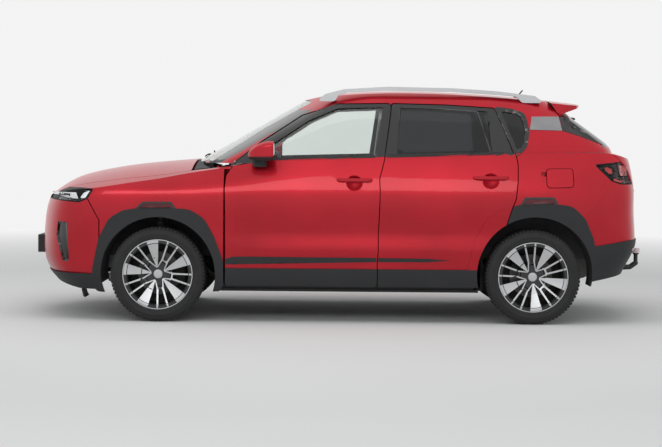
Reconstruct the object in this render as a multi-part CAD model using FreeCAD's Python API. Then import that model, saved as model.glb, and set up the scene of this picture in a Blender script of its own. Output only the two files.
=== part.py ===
# Crossover SUV: a five-door body on four wheels, in millimetres.
# Frame: +X forward, +Y to the car's left, +Z up. Stations along the car are given from the middle of
# the wheelbase, and every piece is moved at the end so that the origin is the middle of the overall size.
# All body panels are cut from the same outer and inner body forms, so that they share one skin.
import FreeCAD, Part
import math
import os

V = FreeCAD.Vector
OUT = "parts"
os.makedirs(OUT, exist_ok=True)

# Driving dimensions
wheelbase = 2600.0
body_half_width = 905.0          # painted skin at its widest
track_half = 782.0               # car's centre to the middle of the tread
tyre_radius = 328.0
tyre_width = 225.0
rim_radius = 246.0               # outside of the rim's flange
nose_x = 2205.0                  # front bumper on the centreline
tail_x = -2085.0                 # rear bumper on the centreline
plate_holder_depth = 32.0        # front number plate holder, ahead of the bumper
tow_ball_x = -2172.0
tow_ball_height = 452.0
tow_ball_diameter = 50.0
panel_gap = 7.0                  # shut line beside a moving panel
seam_gap = 0.3                   # fixed pieces that rest against each other
skin_thickness = 14.0            # fenders and bumpers
hood_thickness = 26.0
door_thickness = 92.0            # lower door, skin to trim
frame_thickness = 44.0           # window frames and screen pillars
quarter_thickness = 60.0
tailgate_thickness = 62.0
roof_thickness = 30.0
glass_inset = 7.0                # glass lies this far under the skin
glass_thickness = 5.0
glass_seat = 11.0                # how far the glass reaches under its frame
pillar_clearance = 30.0          # inner pillars behind the doors, for the edge that swings inward
pillar_depth = 55.0
arch_radius = 398.0              # open wheel arch
trim_proud = 8.0                 # mouldings stand this far off the paint
shut_slant = 0.25                # shut faces run forward as they go inboard, to swing clear
hinge_setback = 45.0             # door hinge pins behind the door's front edge
hinge_depth = 22.0               # and under the widest skin
kingpin_y = 692.0
wheel_well_wall = 452.0          # inner wall of the front wheel wells, clear of the steered tyre
rear_well_wall = 590.0
spindle_radius = 20.0
exhaust_radius = 26.0
pin_play = 0.3

front_axle_x = wheelbase / 2
rear_axle_x = -wheelbase / 2
hub_height = tyre_radius
front_end_x = nose_x + plate_holder_depth
rear_end_x = tow_ball_x - tow_ball_diameter / 2 - 4.0
frame_shift = (front_end_x + rear_end_x) / 2

# Levels of the lower body and how far the side lies inboard of its widest line there
side_levels = [(150, 84), (200, 62), (270, 40), (350, 26), (440, 18), (505, 13), (560, 11), (620, 9),
               (700, 5),
               (790, 1), (870, 0), (930, 6), (1000, 24), (1060, 42), (1120, 60), (1190, 84), (1270, 112),
               (1350, 140)]
# Flare over the doors' lower mouldings, and where along the car it stands
flare_levels = [(440, 0), (505, 10), (560, 0), (620, -12), (700, -2), (790, 0)]
flare_fade = [(-1050, 0.0), (-860, 1.0), (430, 1.0), (800, 0.0)]
fender_lean = [(850, 0), (930, 8), (1000, 60), (1060, 135), (1120, 240), (1350, 330)]
fender_fade = [(750, 0.0), (1150, 0.75), (1500, 1.0)]
plan_width = [(-2100, 0.905), (-1850, 0.955), (-1550, 0.992), (-1250, 1.0), (-800, 0.998), (0, 1.0),
              (700, 0.998),
              (1150, 0.998), (1400, 0.992), (1650, 0.972), (1850, 0.94)]
nose_line = [(150, -200), (200, -150), (270, -86), (350, -20), (440, 2), (540, 4), (650, 0), (760, -12),
             (850, -42),
             (930, -82), (1000, -110), (1060, -125), (1120, -140), (1350, -180)]
tail_line = [(150, 150), (200, 128), (270, 112), (350, 96), (440, 42), (540, -6), (650, -4), (760, 10),
             (850, 8),
             (930, 8), (1000, 16), (1060, 26), (1120, 36), (1190, 62), (1270, 120), (1350, 200)]
side_stations = [-1620, -1280, -900, -450, 0, 450, 850, 1150, 1420, 1640]
# Top of the lower body on the centreline, and its fall towards the side
deck_line = [(-2300, 1040), (-2100, 1105), (-2020, 1178), (-1900, 1222), (-1500, 1212), (-1172, 1196),
             (-572, 1174),
             (179, 1152), (700, 1140), (1050, 1128), (1253, 1110), (1494, 1087), (1720, 1053), (1950, 1002),
             (2060, 960), (2120, 905), (2300, 700)]
deck_fall = [(-2300, 60), (-1900, 24), (-1172, 8), (500, 12), (900, 60), (1253, 92), (1720, 96), (2120, 90)]
deck_fall_width = 740.0

# Greenhouse: half-width at each level, screen and rear glass slopes, roof line
glass_levels = [(1040, 830), (1100, 826), (1150, 812), (1200, 790), (1260, 764), (1340, 728), (1420, 690),
                (1490, 652),
                (1545, 612), (1590, 560), (1625, 480), (1680, 300)]
screen_foot = (1039.0, 1137.0)
screen_slope = 1.733
rear_glass_foot = (-1925.0, 1234.0)
rear_glass_slope = 1.357
roof_line = [(-2000, 1500), (-1700, 1546), (-1450, 1574), (-1100, 1606), (-700, 1628), (-300, 1633),
             (0, 1618),
             (180, 1592), (330, 1556), (480, 1500), (700, 1400)]
roof_fall = 30.0
roof_fall_width = 550.0

# Side outlines, as stations along the car and heights
front_door_outline = [(836, 252), (836, 930), (822, 1015), (757, 1106), (562, 1256), (282, 1437),
                      (60, 1518),
                      (-313, 1524), (-268, 1184), (-228, 1004), (-216, 406), (-216, 252)]
rear_door_outline = [(-319.5, 1524), (-700, 1517), (-1040, 1497), (-1166, 1178), (-1186, 1102),
                     (-1184, 1000),
                     (-1168, 863), (-1136, 790), (-1108, 700), (-1098, 600), (-930, 252), (-222.5, 252),
                     (-222.5, 406), (-234.5, 1004), (-274.5, 1184)]
front_glass_outline = [(-196, 1158), (618, 1139), (545, 1215), (262, 1404), (60, 1490), (-258, 1500)]
rear_glass_outline = [(-354, 1172), (-377, 1500), (-700, 1494), (-985, 1476), (-1022, 1326), (-1014, 1186)]
quarter_glass_outline = [(-1190, 1200), (-1075, 1482), (-1150, 1474), (-1232, 1447), (-1254, 1343),
                         (-1237, 1240)]
screen_outline = [(1400, 1060), (935, 1115), (590, 1340), (225, 1548), (318, 1560), (420, 1700),
                  (1400, 1700)]
headlamp_outline = [(2300, 925), (2061, 922), (1853, 923), (1746, 917), (1789, 845), (1853, 820),
                    (2046, 832),
                    (2300, 842)]
head_light_bar = [(2300, 887), (1874, 889), (1855, 844), (1913, 846), (1934, 867), (2300, 866)]
head_light_block = [(1841, 847), (1841, 860), (1817, 890), (1768, 906), (1806, 850)]
tail_lamp_outline = [(-1720, 1112), (-1842, 996), (-1910, 974), (-2200, 970), (-2200, 1132), (-1971, 1137)]
tail_light_front = [(-1783, 1090), (-1812, 1096), (-1852, 1080), (-1852, 1050), (-1826, 1046)]
tail_light_rear = [(-1898, 1107), (-2200, 1107), (-2200, 1034), (-1906, 1034)]
tail_light_strip = [(-1842, 1016), (-1880, 1014), (-1915, 1000), (-2200, 996), (-2200, 982), (-1912, 985),
                    (-1858, 1000)]
fuel_flap_outline = [(-1388, 950), (-1385, 1078), (-1565, 1081), (-1572, 955)]
front_door_edge = front_door_outline[1][0]
rear_door_edge = -222.5 - 0.5
hood_rear_x = 1080.0
hood_pin_x = 968.0
hood_pin_z = 1045.0
hood_arm_y = 710.0
cowl_front_x = 1064.0
tailgate_pin_x = -1358.0
tailgate_pin_z = 1537.0
tailgate_arm_y = 417.0
flap_pin_x = -1359.0
flap_pin_z = 1015.0
roof_seam_y = 536.0
rail_y = 566.0
hinge_levels = (735.0, 870.0)
hinge_height = 44.0
hinge_pin_radius = 5.0
moulding_top = 376.0
lamp_sink = 10.0                 # lamp faces lie this far under the skin, inside their rims
lamp_rim = 7.0
light_rise = 6.0
handle_length = 256.0
handle_rise = 24.0
handle_cup_radius = 52.0
handle_cup_depth = 15.0
disc_radius = 150.0
disc_y = 731.0
spoke_count = 5
lip_radius = 237.0
bolt_circle = 57.0
grille_slats = 7
front_trim_outline = [(462, -140), (458, 32), (412, 244), (340, 385), (240, 443), (100, 464), (-41, 465),
                      (-223, 452), (-322, 390), (-392, 264), (-458, 82), (-458, -140)]
rear_trim_outline = [(455, -140), (449, 87), (404, 266), (315, 416), (210, 477), (76, 508), (-88, 516),
                     (-267, 496), (-357, 407), (-416, 273), (-431, 200), (-431, -140)]


def curve_value(stations, x):
    """Value at x between (x, value) stations listed in rising x."""
    if x <= stations[0][0]:
        return stations[0][1]
    for (xa, va), (xb, vb) in zip(stations, stations[1:]):
        if x <= xb:
            return va + (vb - va) * (x - xa) / (xb - xa)
    return stations[-1][1]


def skin_y(z):
    """Half-width of the skin at a height, amidships."""
    if z < 1140:
        return body_half_width - curve_value(side_levels, z)
    return curve_value(glass_levels, z)


def mirrored(shape):
    return shape.mirror(V(0, 0, 0), V(0, 1, 0))


def both(shape):
    """The piece and its twin on the car's right."""
    return Part.makeCompound([shape, mirrored(shape)])


def whole(shape):
    """One piece from its left half."""
    return shape.fuse(mirrored(shape)).removeSplitter()


def box(x0, x1, y0, y1, z0, z1):
    return Part.makeBox(x1 - x0, y1 - y0, z1 - z0, V(x0, y0, z0))


def rod(start, end, radius):
    """Round bar between two points."""
    a, b = V(*start), V(*end)
    return Part.makeCylinder(radius, (b - a).Length, a, b - a)


def bent_pipe(stops, radius, bend):
    """Round bar through several points, its bends rounded."""
    points = [V(*stop) for stop in stops]
    edges = []
    leave = points[0]
    for before, corner, after in zip(points, points[1:], points[2:]):
        back, ahead = before - corner, after - corner
        back.normalize()
        ahead.normalize()
        half_angle = back.getAngle(ahead) / 2
        reach = bend / math.tan(half_angle)
        inward = back + ahead
        inward.normalize()
        middle = corner + inward * (bend / math.sin(half_angle) - bend)
        edges.append(Part.makeLine(leave, corner + back * reach))
        edges.append(Part.Arc(corner + back * reach, middle, corner + ahead * reach).toShape())
        leave = corner + ahead * reach
    edges.append(Part.makeLine(leave, points[-1]))
    circle = Part.Wire([Part.makeCircle(radius, points[0], points[1] - points[0])])
    return Part.Wire(edges).makePipeShell([circle], True, False)


def signed_area(points):
    pairs = zip(points, points[1:] + points[:1])
    return sum(a[0] * b[1] - b[0] * a[1] for a, b in pairs) / 2


def grow(points, distance):
    """Outline moved outward by a distance, corners mitred."""
    if signed_area(points) < 0:
        points = points[::-1]
    out = []
    count = len(points)
    for i in range(count):
        p, q, r = points[i - 1], points[i], points[(i + 1) % count]
        a = math.hypot(q[0] - p[0], q[1] - p[1])
        b = math.hypot(r[0] - q[0], r[1] - q[1])
        na = ((q[1] - p[1]) / a, -(q[0] - p[0]) / a)
        nb = ((r[1] - q[1]) / b, -(r[0] - q[0]) / b)
        scale = distance / (1 + na[0] * nb[0] + na[1] * nb[1])
        out.append((q[0] + (na[0] + nb[0]) * scale, q[1] + (na[1] + nb[1]) * scale))
    return out


def rounded_wire(points, radius):
    """Closed wire through points, with its corners rounded as far as the edges allow."""
    count = len(points)
    starts, ends, middles = [], [], []
    for i in range(count):
        p, q, r = points[i - 1], points[i], points[(i + 1) % count]
        u, w = (p - q), (r - q)
        lu, lw = u.Length, w.Length
        u.normalize()
        w.normalize()
        angle = u.getAngle(w)
        reach = min(radius / math.tan(angle / 2), 0.45 * lu, 0.45 * lw) if angle < math.pi - 0.01 else 0.0
        starts.append(q + u * reach)
        ends.append(q + w * reach)
        bisector = u + w
        if reach > 0.5:
            bisector.normalize()
            r_true = reach * math.tan(angle / 2)
            middles.append(q + bisector * (r_true / math.sin(angle / 2) - r_true))
        else:
            middles.append(None)
    edges = []
    for i in range(count):
        if middles[i] is not None:
            edges.append(Part.Arc(starts[i], middles[i], ends[i]).toShape())
            leave = ends[i]
        else:
            leave = points[i]
        following = (i + 1) % count
        arrive = starts[following] if middles[following] is not None else points[following]
        if (arrive - leave).Length > 1e-6:
            edges.append(Part.makeLine(leave, arrive))
    return Part.Wire(edges)


def side_cutter(points, radius=0.0, y_in=150.0, y_out=1150.0, slant=shut_slant):
    """Prism through the car's left side, its edges slanted so that a panel cut with it swings clear."""
    flat = [V(x + slant * (skin_y(z) - y_out), y_out, z) for x, z in points]
    return Part.Face(rounded_wire(flat, radius)).extrude(V(slant * (y_out - y_in), y_in - y_out, 0))


def plan_cutter(points, radius, z_low, z_high):
    flat = [V(x, y, z_low) for x, y in points]
    return Part.Face(rounded_wire(flat, radius)).extrude(V(0, 0, z_high - z_low))


def front_cutter(points, radius, x_low, x_high):
    """Prism along the car from an outline given as (y, z)."""
    flat = [V(x_low, y, z) for y, z in points]
    return Part.Face(rounded_wire(flat, radius)).extrude(V(x_high - x_low, 0, 0))


def profile_bar(points, y_low, y_high, radius=0.0):
    """Bar across the car from an outline given as (x, z)."""
    flat = [V(x, y_low, z) for x, z in points]
    return Part.Face(rounded_wire(flat, radius)).extrude(V(0, y_high - y_low, 0))


def spline_surface(rows):
    """Smooth cubic surface over a grid of control points."""
    def knots(count):
        inner = count - 4
        return [float(i) for i in range(inner + 2)], [4] + [1] * inner + [4]

    ku, mu = knots(len(rows))
    kv, mv = knots(len(rows[0]))
    surface = Part.BSplineSurface()
    surface.buildFromPolesMultsKnots(rows, mu, mv, ku, kv, False, False, 3, 3)
    return surface


def closed_half(rows):
    """Solid between the y = 0 plane and a side surface given level by level."""
    side = spline_surface(rows).toShape()
    z_low, z_high = rows[0][0].z, rows[-1][0].z
    low = [e for e in side.Edges if abs(e.BoundBox.ZMax - z_low) < 0.01][0]
    high = [e for e in side.Edges if abs(e.BoundBox.ZMin - z_high) < 0.01][0]
    middle = [e for e in side.Edges if e.BoundBox.YMax < 0.01 and e.BoundBox.ZLength > 1]
    faces = [side]
    for edge in (low, high):
        across = Part.makeLine(edge.Vertexes[-1].Point, edge.Vertexes[0].Point)
        faces.append(Part.Face(Part.Wire(Part.__sortEdges__([edge, across]))))
        middle.append(across)
    faces.append(Part.Face(Part.Wire(Part.__sortEdges__(middle))))
    shell = Part.Shell(faces)
    shell.sewShape()
    solid = Part.Solid(shell)
    if solid.Volume < 0:
        solid.reverse()
    return solid


def crown_cutter(line, falls, fall_width, x_low, x_high, drop):
    """Everything above a crowned surface, given by its centre line and its fall to the side."""
    steps = 26
    rows = []
    for i in range(steps + 1):
        x = x_low + (x_high - x_low) * i / steps
        centre = curve_value(line, x) - drop
        fall = curve_value(falls, x)
        rows.append([V(x, y, centre - fall * (y / fall_width) ** 2) for y in range(-100, 1101, 150)])
    return spline_surface(rows).toShape().extrude(V(0, 0, 900))


def lower_row(z, inset):
    """Control points of one level of the lower body, from the tail round to the nose."""
    rear = tail_x + curve_value(tail_line, z) + inset
    front = nose_x + curve_value(nose_line, z) - inset

    def half(x):
        lean = curve_value(fender_lean, z) * curve_value(fender_fade, x)
        flare = curve_value(flare_levels, z) * curve_value(flare_fade, x)
        return body_half_width * curve_value(plan_width, x) - curve_value(side_levels,
                                                                          z) + flare - lean - inset

    wr, wf = half(-1900), half(1850)
    points = [(rear, 0.0), (rear, 0.34 * wr), (rear + 22, 0.66 * wr), (rear + 82, 0.90 * wr),
              (rear + 225, 0.985 * wr)]
    points += [(x, half(x)) for x in side_stations]
    points += [(front - 350, wf), (front - 205, 0.925 * wf), (front - 92, 0.72 * wf),
               (front - 12, 0.38 * wf),
               (front, 0.0)]
    return [V(x, y, z) for x, y in points]


def upper_row(z, inset):
    """Control points of one level of the greenhouse, from the rear glass round to the screen."""
    wide = curve_value(glass_levels, z) - inset
    front = screen_foot[0] - (z - screen_foot[1]) * screen_slope - inset
    rear = rear_glass_foot[0] + max(0.0, z - rear_glass_foot[1]) * rear_glass_slope + inset
    points = [(rear, 0.0), (rear, 0.34 * wide), (rear + 18, 0.62 * wide), (rear + 75, 0.85 * wide),
              (rear + 200, 0.935 * wide)]
    side_rear, side_front = rear + 420, front - 430
    for i in range(6):
        x = side_rear + (side_front - side_rear) * i / 5
        points.append((x, wide * (1.0 - 0.034 * ((x + 250) / 1100) ** 2)))
    points += [(front - 292, 0.952 * wide), (front - 205, 0.865 * wide), (front - 92, 0.60 * wide),
               (front - 12, 0.30 * wide), (front, 0.0)]
    return [V(x, y, z) for x, y in points]


forms = {}


def lower_column(inset):
    """Lower body without its top, in by an inset."""
    key = ("lower column", inset)
    if key not in forms:
        forms[key] = closed_half([lower_row(z, inset) for z, _ in side_levels])
    return forms[key]


def lower_form(inset):
    key = ("lower", inset)
    if key not in forms:
        top = crown_cutter(deck_line, deck_fall, deck_fall_width, -2400, 2400, inset)
        forms[key] = lower_column(inset).cut(top)
    return forms[key]


def upper_column(inset):
    key = ("upper column", inset)
    if key not in forms:
        forms[key] = closed_half([upper_row(z, inset) for z, _ in glass_levels])
    return forms[key]


def upper_form(inset):
    key = ("upper", inset)
    if key not in forms:
        falls = [(-2000, roof_fall), (700, roof_fall)]
        top = crown_cutter(roof_line, falls, roof_fall_width, -2400, 1400, inset)
        forms[key] = upper_column(inset).cut(top)
    return forms[key]


def outside(x0, x1, z0, z1):
    """Block over a range of stations and heights on the car's left."""
    return box(x0, x1, -0.01, 1200, z0, z1)


# Side openings, each a little larger than what closes it
def door_gap_cutter(outline):
    return side_cutter(grow(outline, panel_gap), 26.0)


def hinge_pins(outline_x):
    return outline_x - hinge_setback, body_half_width - hinge_depth


def window_frame_zone():
    """Space over the belt line that the doors' window frames keep to."""
    return front_cutter([(742, 1100), (520, 1572), (1200, 1572), (1200, 1100)], 1.0, -3000, 3000)


# Doors
def pull_handle(x, z):
    """Cup and pull bar of a door handle."""
    y = skin_width(x, z)
    ball_radius = (handle_cup_radius ** 2 + handle_cup_depth ** 2) / (2 * handle_cup_depth)
    cup = Part.makeSphere(ball_radius, V(x, y + ball_radius - handle_cup_depth, z - 4))
    half = handle_length / 2
    rise = handle_rise
    plan = [(x - half, y - 6), (x - half + 12, y + rise - 8), (x - half + 34, y + rise),
            (x + half - 34, y + rise),
            (x + half - 12, y + rise - 8), (x + half, y - 6), (x + half - 36, y - 6),
            (x + half - 56, y + 8),
            (x - half + 56, y + 8), (x - half + 36, y - 6)]
    bar = plan_cutter(plan, 6.0, z - 11, z + 11)
    side = [(x - half - 1, z - 7), (x - half - 1, z + 7), (x - half + 40, z + 12), (x + half - 40, z + 12),
            (x + half + 1, z + 7), (x + half + 1, z - 7), (x + half - 40, z - 12), (x - half + 40, z - 12)]
    return cup, bar.common(profile_bar(side, y - 20, y + rise + 5, 6.0))


def door_panel(outline, window, edge_x, handle_x, handle_z):
    """Door with its stepped lower moulding, window opening, hinge notches and handle."""
    cutter = side_cutter(outline, 22.0)
    lower = lower_form(0.0).common(cutter).cut(lower_column(door_thickness))
    upper = upper_form(0.0).common(cutter).cut(upper_column(frame_thickness)).common(window_frame_zone())
    panel = lower.fuse(upper).cut(side_cutter(window, 14.0, slant=0.0))
    panel = panel.cut(rear_trim_cutter())
    moulding = lower_column(-trim_proud).common(cutter).cut(lower_column(40.0))
    panel = panel.fuse(moulding.common(outside(-3000, 3000, 0, moulding_top)))
    ring = moulding.common(rear_trim_cutter())
    if ring.Volume > 1:
        panel = panel.fuse(ring)
    panel = panel.cut(arch_hole("rear"))
    pin_x, pin_y = hinge_pins(edge_x)
    for level in hinge_levels:
        reach = hinge_height / 2 + 5.0
        notch = box(pin_x - 12, edge_x + 60, pin_y - 200, pin_y, level - reach, level + reach)
        notch = notch.fuse(Part.makeCylinder(12.0, 2 * reach, V(pin_x, pin_y, level - reach)))
        notch = notch.fuse(box(pin_x, edge_x + 60, pin_y - 1, pin_y + 12, level - reach, level + reach))
        bore = Part.makeCylinder(hinge_pin_radius + pin_play, hinge_height + 60,
                                 V(pin_x, pin_y, level - hinge_height / 2 - 30))
        panel = panel.cut(notch).cut(bore)
    cup, bar = pull_handle(handle_x, handle_z)
    return panel.cut(cup).fuse(bar)


def door_hinges(edge_x, pillar_inset):
    """Hinge brackets and pins that a pillar carries."""
    pin_x, pin_y = hinge_pins(edge_x)
    parts = []
    for level in hinge_levels:
        low = level - hinge_height / 2
        arm = box(pin_x - 8, pin_x + 8, body_half_width - pillar_inset - 12, pin_y, low, low + hinge_height)
        eye = Part.makeCylinder(8.0, hinge_height, V(pin_x, pin_y, low))
        pin = Part.makeCylinder(hinge_pin_radius, hinge_height + 56, V(pin_x, pin_y, low - 28))
        parts += [arm, eye, pin]
    return parts


def pane(outline, inset=glass_inset, thickness=glass_thickness):
    """Sheet of glass let into the greenhouse, reaching under its frame."""
    layer = upper_form(inset).cut(upper_column(inset + thickness))
    return layer.common(side_cutter(grow(outline, glass_seat), 16.0, slant=0.0))


def door_mirror():
    """Mirror housing on its foot, on the door's front upper corner."""
    stations = [(498, 950, 1192, 86, 60), (514, 950, 1190, 92, 65), (575, 946, 1184, 88, 62),
                (632, 938, 1172, 70, 46),
                (664, 930, 1160, 46, 28), (674, 927, 1156, 22, 12)]
    rings = []
    for x, y, z, half_y, half_z in stations:
        corners = [V(x, y + a * half_y, z + b * half_z) for a,
                   b in ((1, -0.7), (1, 0.7), (0.6, 1), (-0.6, 1), (-1, 0.7),
                                                                     (-1, -0.7), (-0.6, -1), (0.6, -1))]
        rings.append(rounded_wire(corners, 0.45 * half_z))
    head_shape = Part.makeLoft(rings, True, False)
    foot = plan_cutter([(655, 800), (545, 800), (560, 900), (632, 900)], 12.0, 1078, 1150)
    return head_shape.fuse(foot)


def arch_hole(which, y_in=150.0, y_out=1150.0, grown=0.0):
    """Open wheel arch."""
    radius = arch_radius + grown
    if which == "front":
        return Part.makeCylinder(radius, y_out - y_in, V(front_axle_x, y_in, hub_height), V(0, 1, 0))
    return Part.makeCylinder(radius + 4, y_out - y_in, V(rear_axle_x - 12, y_in, hub_height + 16),
                             V(0, 1, 0))


def trim_cutter(axle_x, outline):
    flat = [V(axle_x + dx, 1150, hub_height + dz) for dx, dz in outline]
    return Part.Face(rounded_wire(flat, 140.0)).extrude(V(0, -1000, 0))


def front_trim_cutter():
    return trim_cutter(front_axle_x, front_trim_outline)


def rear_trim_cutter():
    return trim_cutter(rear_axle_x, rear_trim_outline)


# Skins of the front end
def hood_cutter(distance=0.0):
    points = [(hood_rear_x, -300), (hood_rear_x, 742), (1134, 744), (1419, 736), (1690, 706), (1900, 656),
              (2030, 580), (2082, 460), (2100, 300), (2106, 0), (2106, -300)]
    outline = grow(points, distance) if distance else points
    return plan_cutter(outline, 60.0, 840.0, 1200.0)


def hood():
    """Hood with the arms of its rear hinges."""
    skin = lower_form(0.0).common(hood_cutter()).cut(lower_form(hood_thickness))
    x, z = hood_pin_x, hood_pin_z
    arm = profile_bar([(x - 10, z - 12), (x - 10, z + 12), (1060, 1046), (1110, 1038), (1230, 1014),
                       (1230, 988),
                       (1110, 1000), (1050, 1010)], hood_arm_y - 6, hood_arm_y + 6, 6.0)
    arm = arm.cut(rod((x, hood_arm_y - 40, z), (x, hood_arm_y + 40, z), 6.0 + pin_play))
    return whole(skin.fuse(arm))


def hood_hinge():
    """Bracket and pin of the hood's left hinge."""
    x, z = hood_pin_x, hood_pin_z
    bracket = box(915, x + 11, hood_arm_y + 8, hood_arm_y + 20, z - 14, z + 11)
    return [bracket, rod((x, hood_arm_y - 10, z), (x, hood_arm_y + 20, z), 6.0)]


def cowl_panel():
    """Black cowl between the hood and the screen."""
    zone = box(700, cowl_front_x, -0.01, hood_arm_y - 12, 900, 1200)
    strip = lower_form(4.0).cut(lower_form(16.0)).common(zone).cut(upper_column(0.0))
    bar = lower_form(10.0).common(box(1022, cowl_front_x - 12, -0.01, hood_arm_y - 12, 1005, 1200))
    bar = bar.cut(upper_column(glass_inset + glass_thickness + seam_gap).common(box(0, 2000, -1, 1200, 1118,
                                                                                    1700)))
    bar = bar.cut(upper_column(glass_inset - 6).cut(upper_column(glass_inset + glass_thickness + seam_gap)).common(
        box(0, 2000, -1, 1200, 1100, 1700)))
    body = strip.fuse(bar)
    return body.fuse(mirrored(body))


def grille_cutter(distance=0.0):
    points = [(-300, 470), (330, 470), (420, 640), (372, 770), (-300, 770)]
    outline = grow(points, distance) if distance else points
    return front_cutter(outline, 18.0, 1950.0, 2400.0)


def front_bumper():
    skin = lower_form(0.0).cut(lower_form(skin_thickness))
    zone = profile_bar([(1746, 917), (1792, 845), (1712, 700), (1712, 326), (2400, 326), (2400, 960),
                        (1746, 960)],
                       -0.01, 1150)
    skin = skin.common(zone).cut(hood_cutter(panel_gap)).cut(headlamp_space()).cut(grille_cutter())
    skin = skin.cut(front_trim_cutter()).cut(fender_zone())
    skin = skin.cut(vent_cutter())
    hollow = lower_form(skin_thickness)
    holder = box(nose_x - 60, front_end_x, -0.01, 262, 434, 561).cut([hollow, mirrored(hollow)])
    return whole(skin.fuse(holder))


def vent_cutter(distance=0.0):
    """Upright opening for the vent in the bumper's corner."""
    corners = [(2008, 687), (2022, 587), (1972, 410), (1929, 410), (1941, 680)]
    return profile_bar(grow(corners, distance), 300, 1150, 8.0)


def headlamp_space():
    flat = [V(x, 1150, z) for x, z in headlamp_outline]
    prism = Part.Face(rounded_wire(flat, 10.0)).extrude(V(0, -740, 0))
    return prism


def fender_zone():
    return profile_bar([(690, 1200), (690, 330), (1705, 330), (1705, 700), (1785, 845), (1850, 860),
                        (1850, 922),
                        (1960, 922), (1960, 1200)], 300, 1150)


def front_fender():
    skin = lower_form(0.0).cut(lower_form(skin_thickness)).common(fender_zone())
    skin = skin.cut(hood_cutter(panel_gap)).cut(front_trim_cutter()).cut(headlamp_space())
    skin = skin.cut(side_cutter(grow(front_door_outline, panel_gap), 26.0))
    skin = skin.cut(outside(0, 846, 0, 1060))
    cowl_zone = plan_cutter([(600, -10), (hood_rear_x + 30, -10), (hood_rear_x + 30, 742), (1000, 752),
                             (880, 776),
                             (600, 800)], 1.0, 900, 1300)
    skin = skin.cut(cowl_zone).cut(upper_column(0.0))
    return both(skin)


def lower_cladding():
    """Black mouldings: front arches with the bumper's lip, rear arches with the rear apron."""
    layer = lower_column(-trim_proud).cut(lower_column(skin_thickness))
    front_zone = front_trim_cutter().fuse(outside(1700, 2400, 215, 325.7))
    front = layer.common(front_zone).cut(arch_hole("front")).cut(outside(0, 846, 0, 1060))
    front = front.cut(profile_bar([(600, 0), (600, 215), (1700, 196), (1841, 212), (2103, 258), (2400, 262),
                                   (2400, 0)],
                                  -1, 1200))
    rear_zone = rear_trim_cutter().fuse(profile_bar([(-2400, 585), (-1990, 585), (-1726, 546), (-1660, 480),
                                                     (-1640, 284), (-1930, 338), (-2400, 380)], -0.01,
                                                    1150))
    rear = layer.common(rear_zone).cut(arch_hole("rear"))
    rear = rear.cut(door_gap_cutter(rear_door_outline)).cut(outside(-1100, 0, 0, 1000)).cut(outside(-2400,
                                                                                                    0, 0,
                                                                                                    262))
    rear = rear.cut(profile_bar([(-1000, 0), (-1000, 284), (-1640, 284), (-1930, 338), (-2400, 380),
                                 (-2400, 0)], -1, 1200))
    rear = rear.cut(box(-2400, -1900, -0.01, 60, 0, 420))
    return Part.makeCompound([whole(front), whole(rear)])


def rear_bumper():
    skin = lower_column(0.0).cut(lower_column(skin_thickness))
    zone = profile_bar([(-2400, 585.3), (-1990, 585.3), (-1726, 546.3), (-1640, 720), (-1862, 983),
                        (-2400, 983)],
                       -0.01, 1150)
    skin = skin.common(zone).cut(rear_trim_cutter()).cut(tailgate_cutter(panel_gap)).cut(tail_lamp_space())
    return whole(skin)


def tail_lamp_space():
    flat = [V(x, 1150, z) for x, z in tail_lamp_outline]
    return Part.Face(rounded_wire(flat, 10.0)).extrude(V(0, -560, 0))


def tailgate_cutter(distance=0.0):
    """Zone of the tailgate: an outline from behind below the glass, and one from the side above."""
    d = distance
    rear = front_cutter(grow([(-300, 650), (520, 650), (590, 712), (626, 860), (652, 985), (716, 1137),
                              (736, 1250), (-300, 1250)], d), 20.0, -2400, -1800)
    side = profile_bar(grow([(-2400, 1120), (-1962, 1120), (-1956, 1150), (-1925, 1192), (-1850, 1222),
                             (-1735, 1290),
                             (-1570, 1400), (-1504, 1454), (-1380.7, 1640), (-1380.7, 1800), (-2400, 1800)],
                            d),
                       -0.01, 1150, 12.0)
    return rear.fuse(side)


def tailgate():
    zone = tailgate_cutter()
    hollow = lower_column(tailgate_thickness).common(box(-2400, 0, -10, 1200, 0, 1150))
    lower = lower_form(0.0).common(zone).cut(hollow).cut(lower_column(150.0))
    lip = plan_cutter([(-1400, -0.01), (-1400, 566), (-1560, 556), (-1636, 520), (-1664, 430),
                       (-1668, -0.01)], 20.0,
                      1400, 1700)
    lip = lip.common(profile_bar([(-1400, 1549), (-1500, 1452), (-1520, 1462), (-1648, 1508), (-1662, 1524),
                                  (-1640, 1700), (-1400, 1700)], -0.01, 1150))
    falls = [(-2000, roof_fall), (700, roof_fall)]
    roof = crown_cutter(roof_line, falls, roof_fall_width, -2400, 1400, 0.0)
    upper = upper_column(0.0).common(outside(-2400, 0, 1160, 1690)).fuse(lip).common(zone)
    upper = upper.cut(roof).cut(upper_form(34.0)).cut(upper_column(frame_thickness).common(
        outside(-2400, 0, 0, 1470)))
    x, z = tailgate_pin_x, tailgate_pin_z
    arm = profile_bar([(x - 8, z + 8), (x + 8, z + 8), (x + 8, z - 99), (x - 142, z - 99), (x - 142, z),
                       (x - 112, z), (x - 112, z - 82), (x - 8, z - 82)], tailgate_arm_y - 7,
                      tailgate_arm_y + 7, 5.0)
    arm = arm.cut(rod((x, 300, z), (x, 600, z), 5.0 + pin_play))
    body = lower.fuse(upper).fuse(arm)
    body = body.cut(rear_window_cutter())
    return body.fuse(mirrored(body))


def rear_window_cutter(distance=0.0):
    outline = [(-300, 1262), (548, 1268), (500, 1440), (-300, 1452)]
    if distance:
        outline = grow(outline, distance)
    return front_cutter(outline, 24.0, -2100, -1420)


def rear_window():
    layer = upper_form(glass_inset).cut(upper_column(glass_inset + glass_thickness))
    return whole(layer.common(rear_window_cutter(glass_seat)))


def screen_cutter(distance=0.0):
    outline = grow(screen_outline, distance) if distance else screen_outline
    return profile_bar(outline, -0.01, 1150, 30.0)


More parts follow.
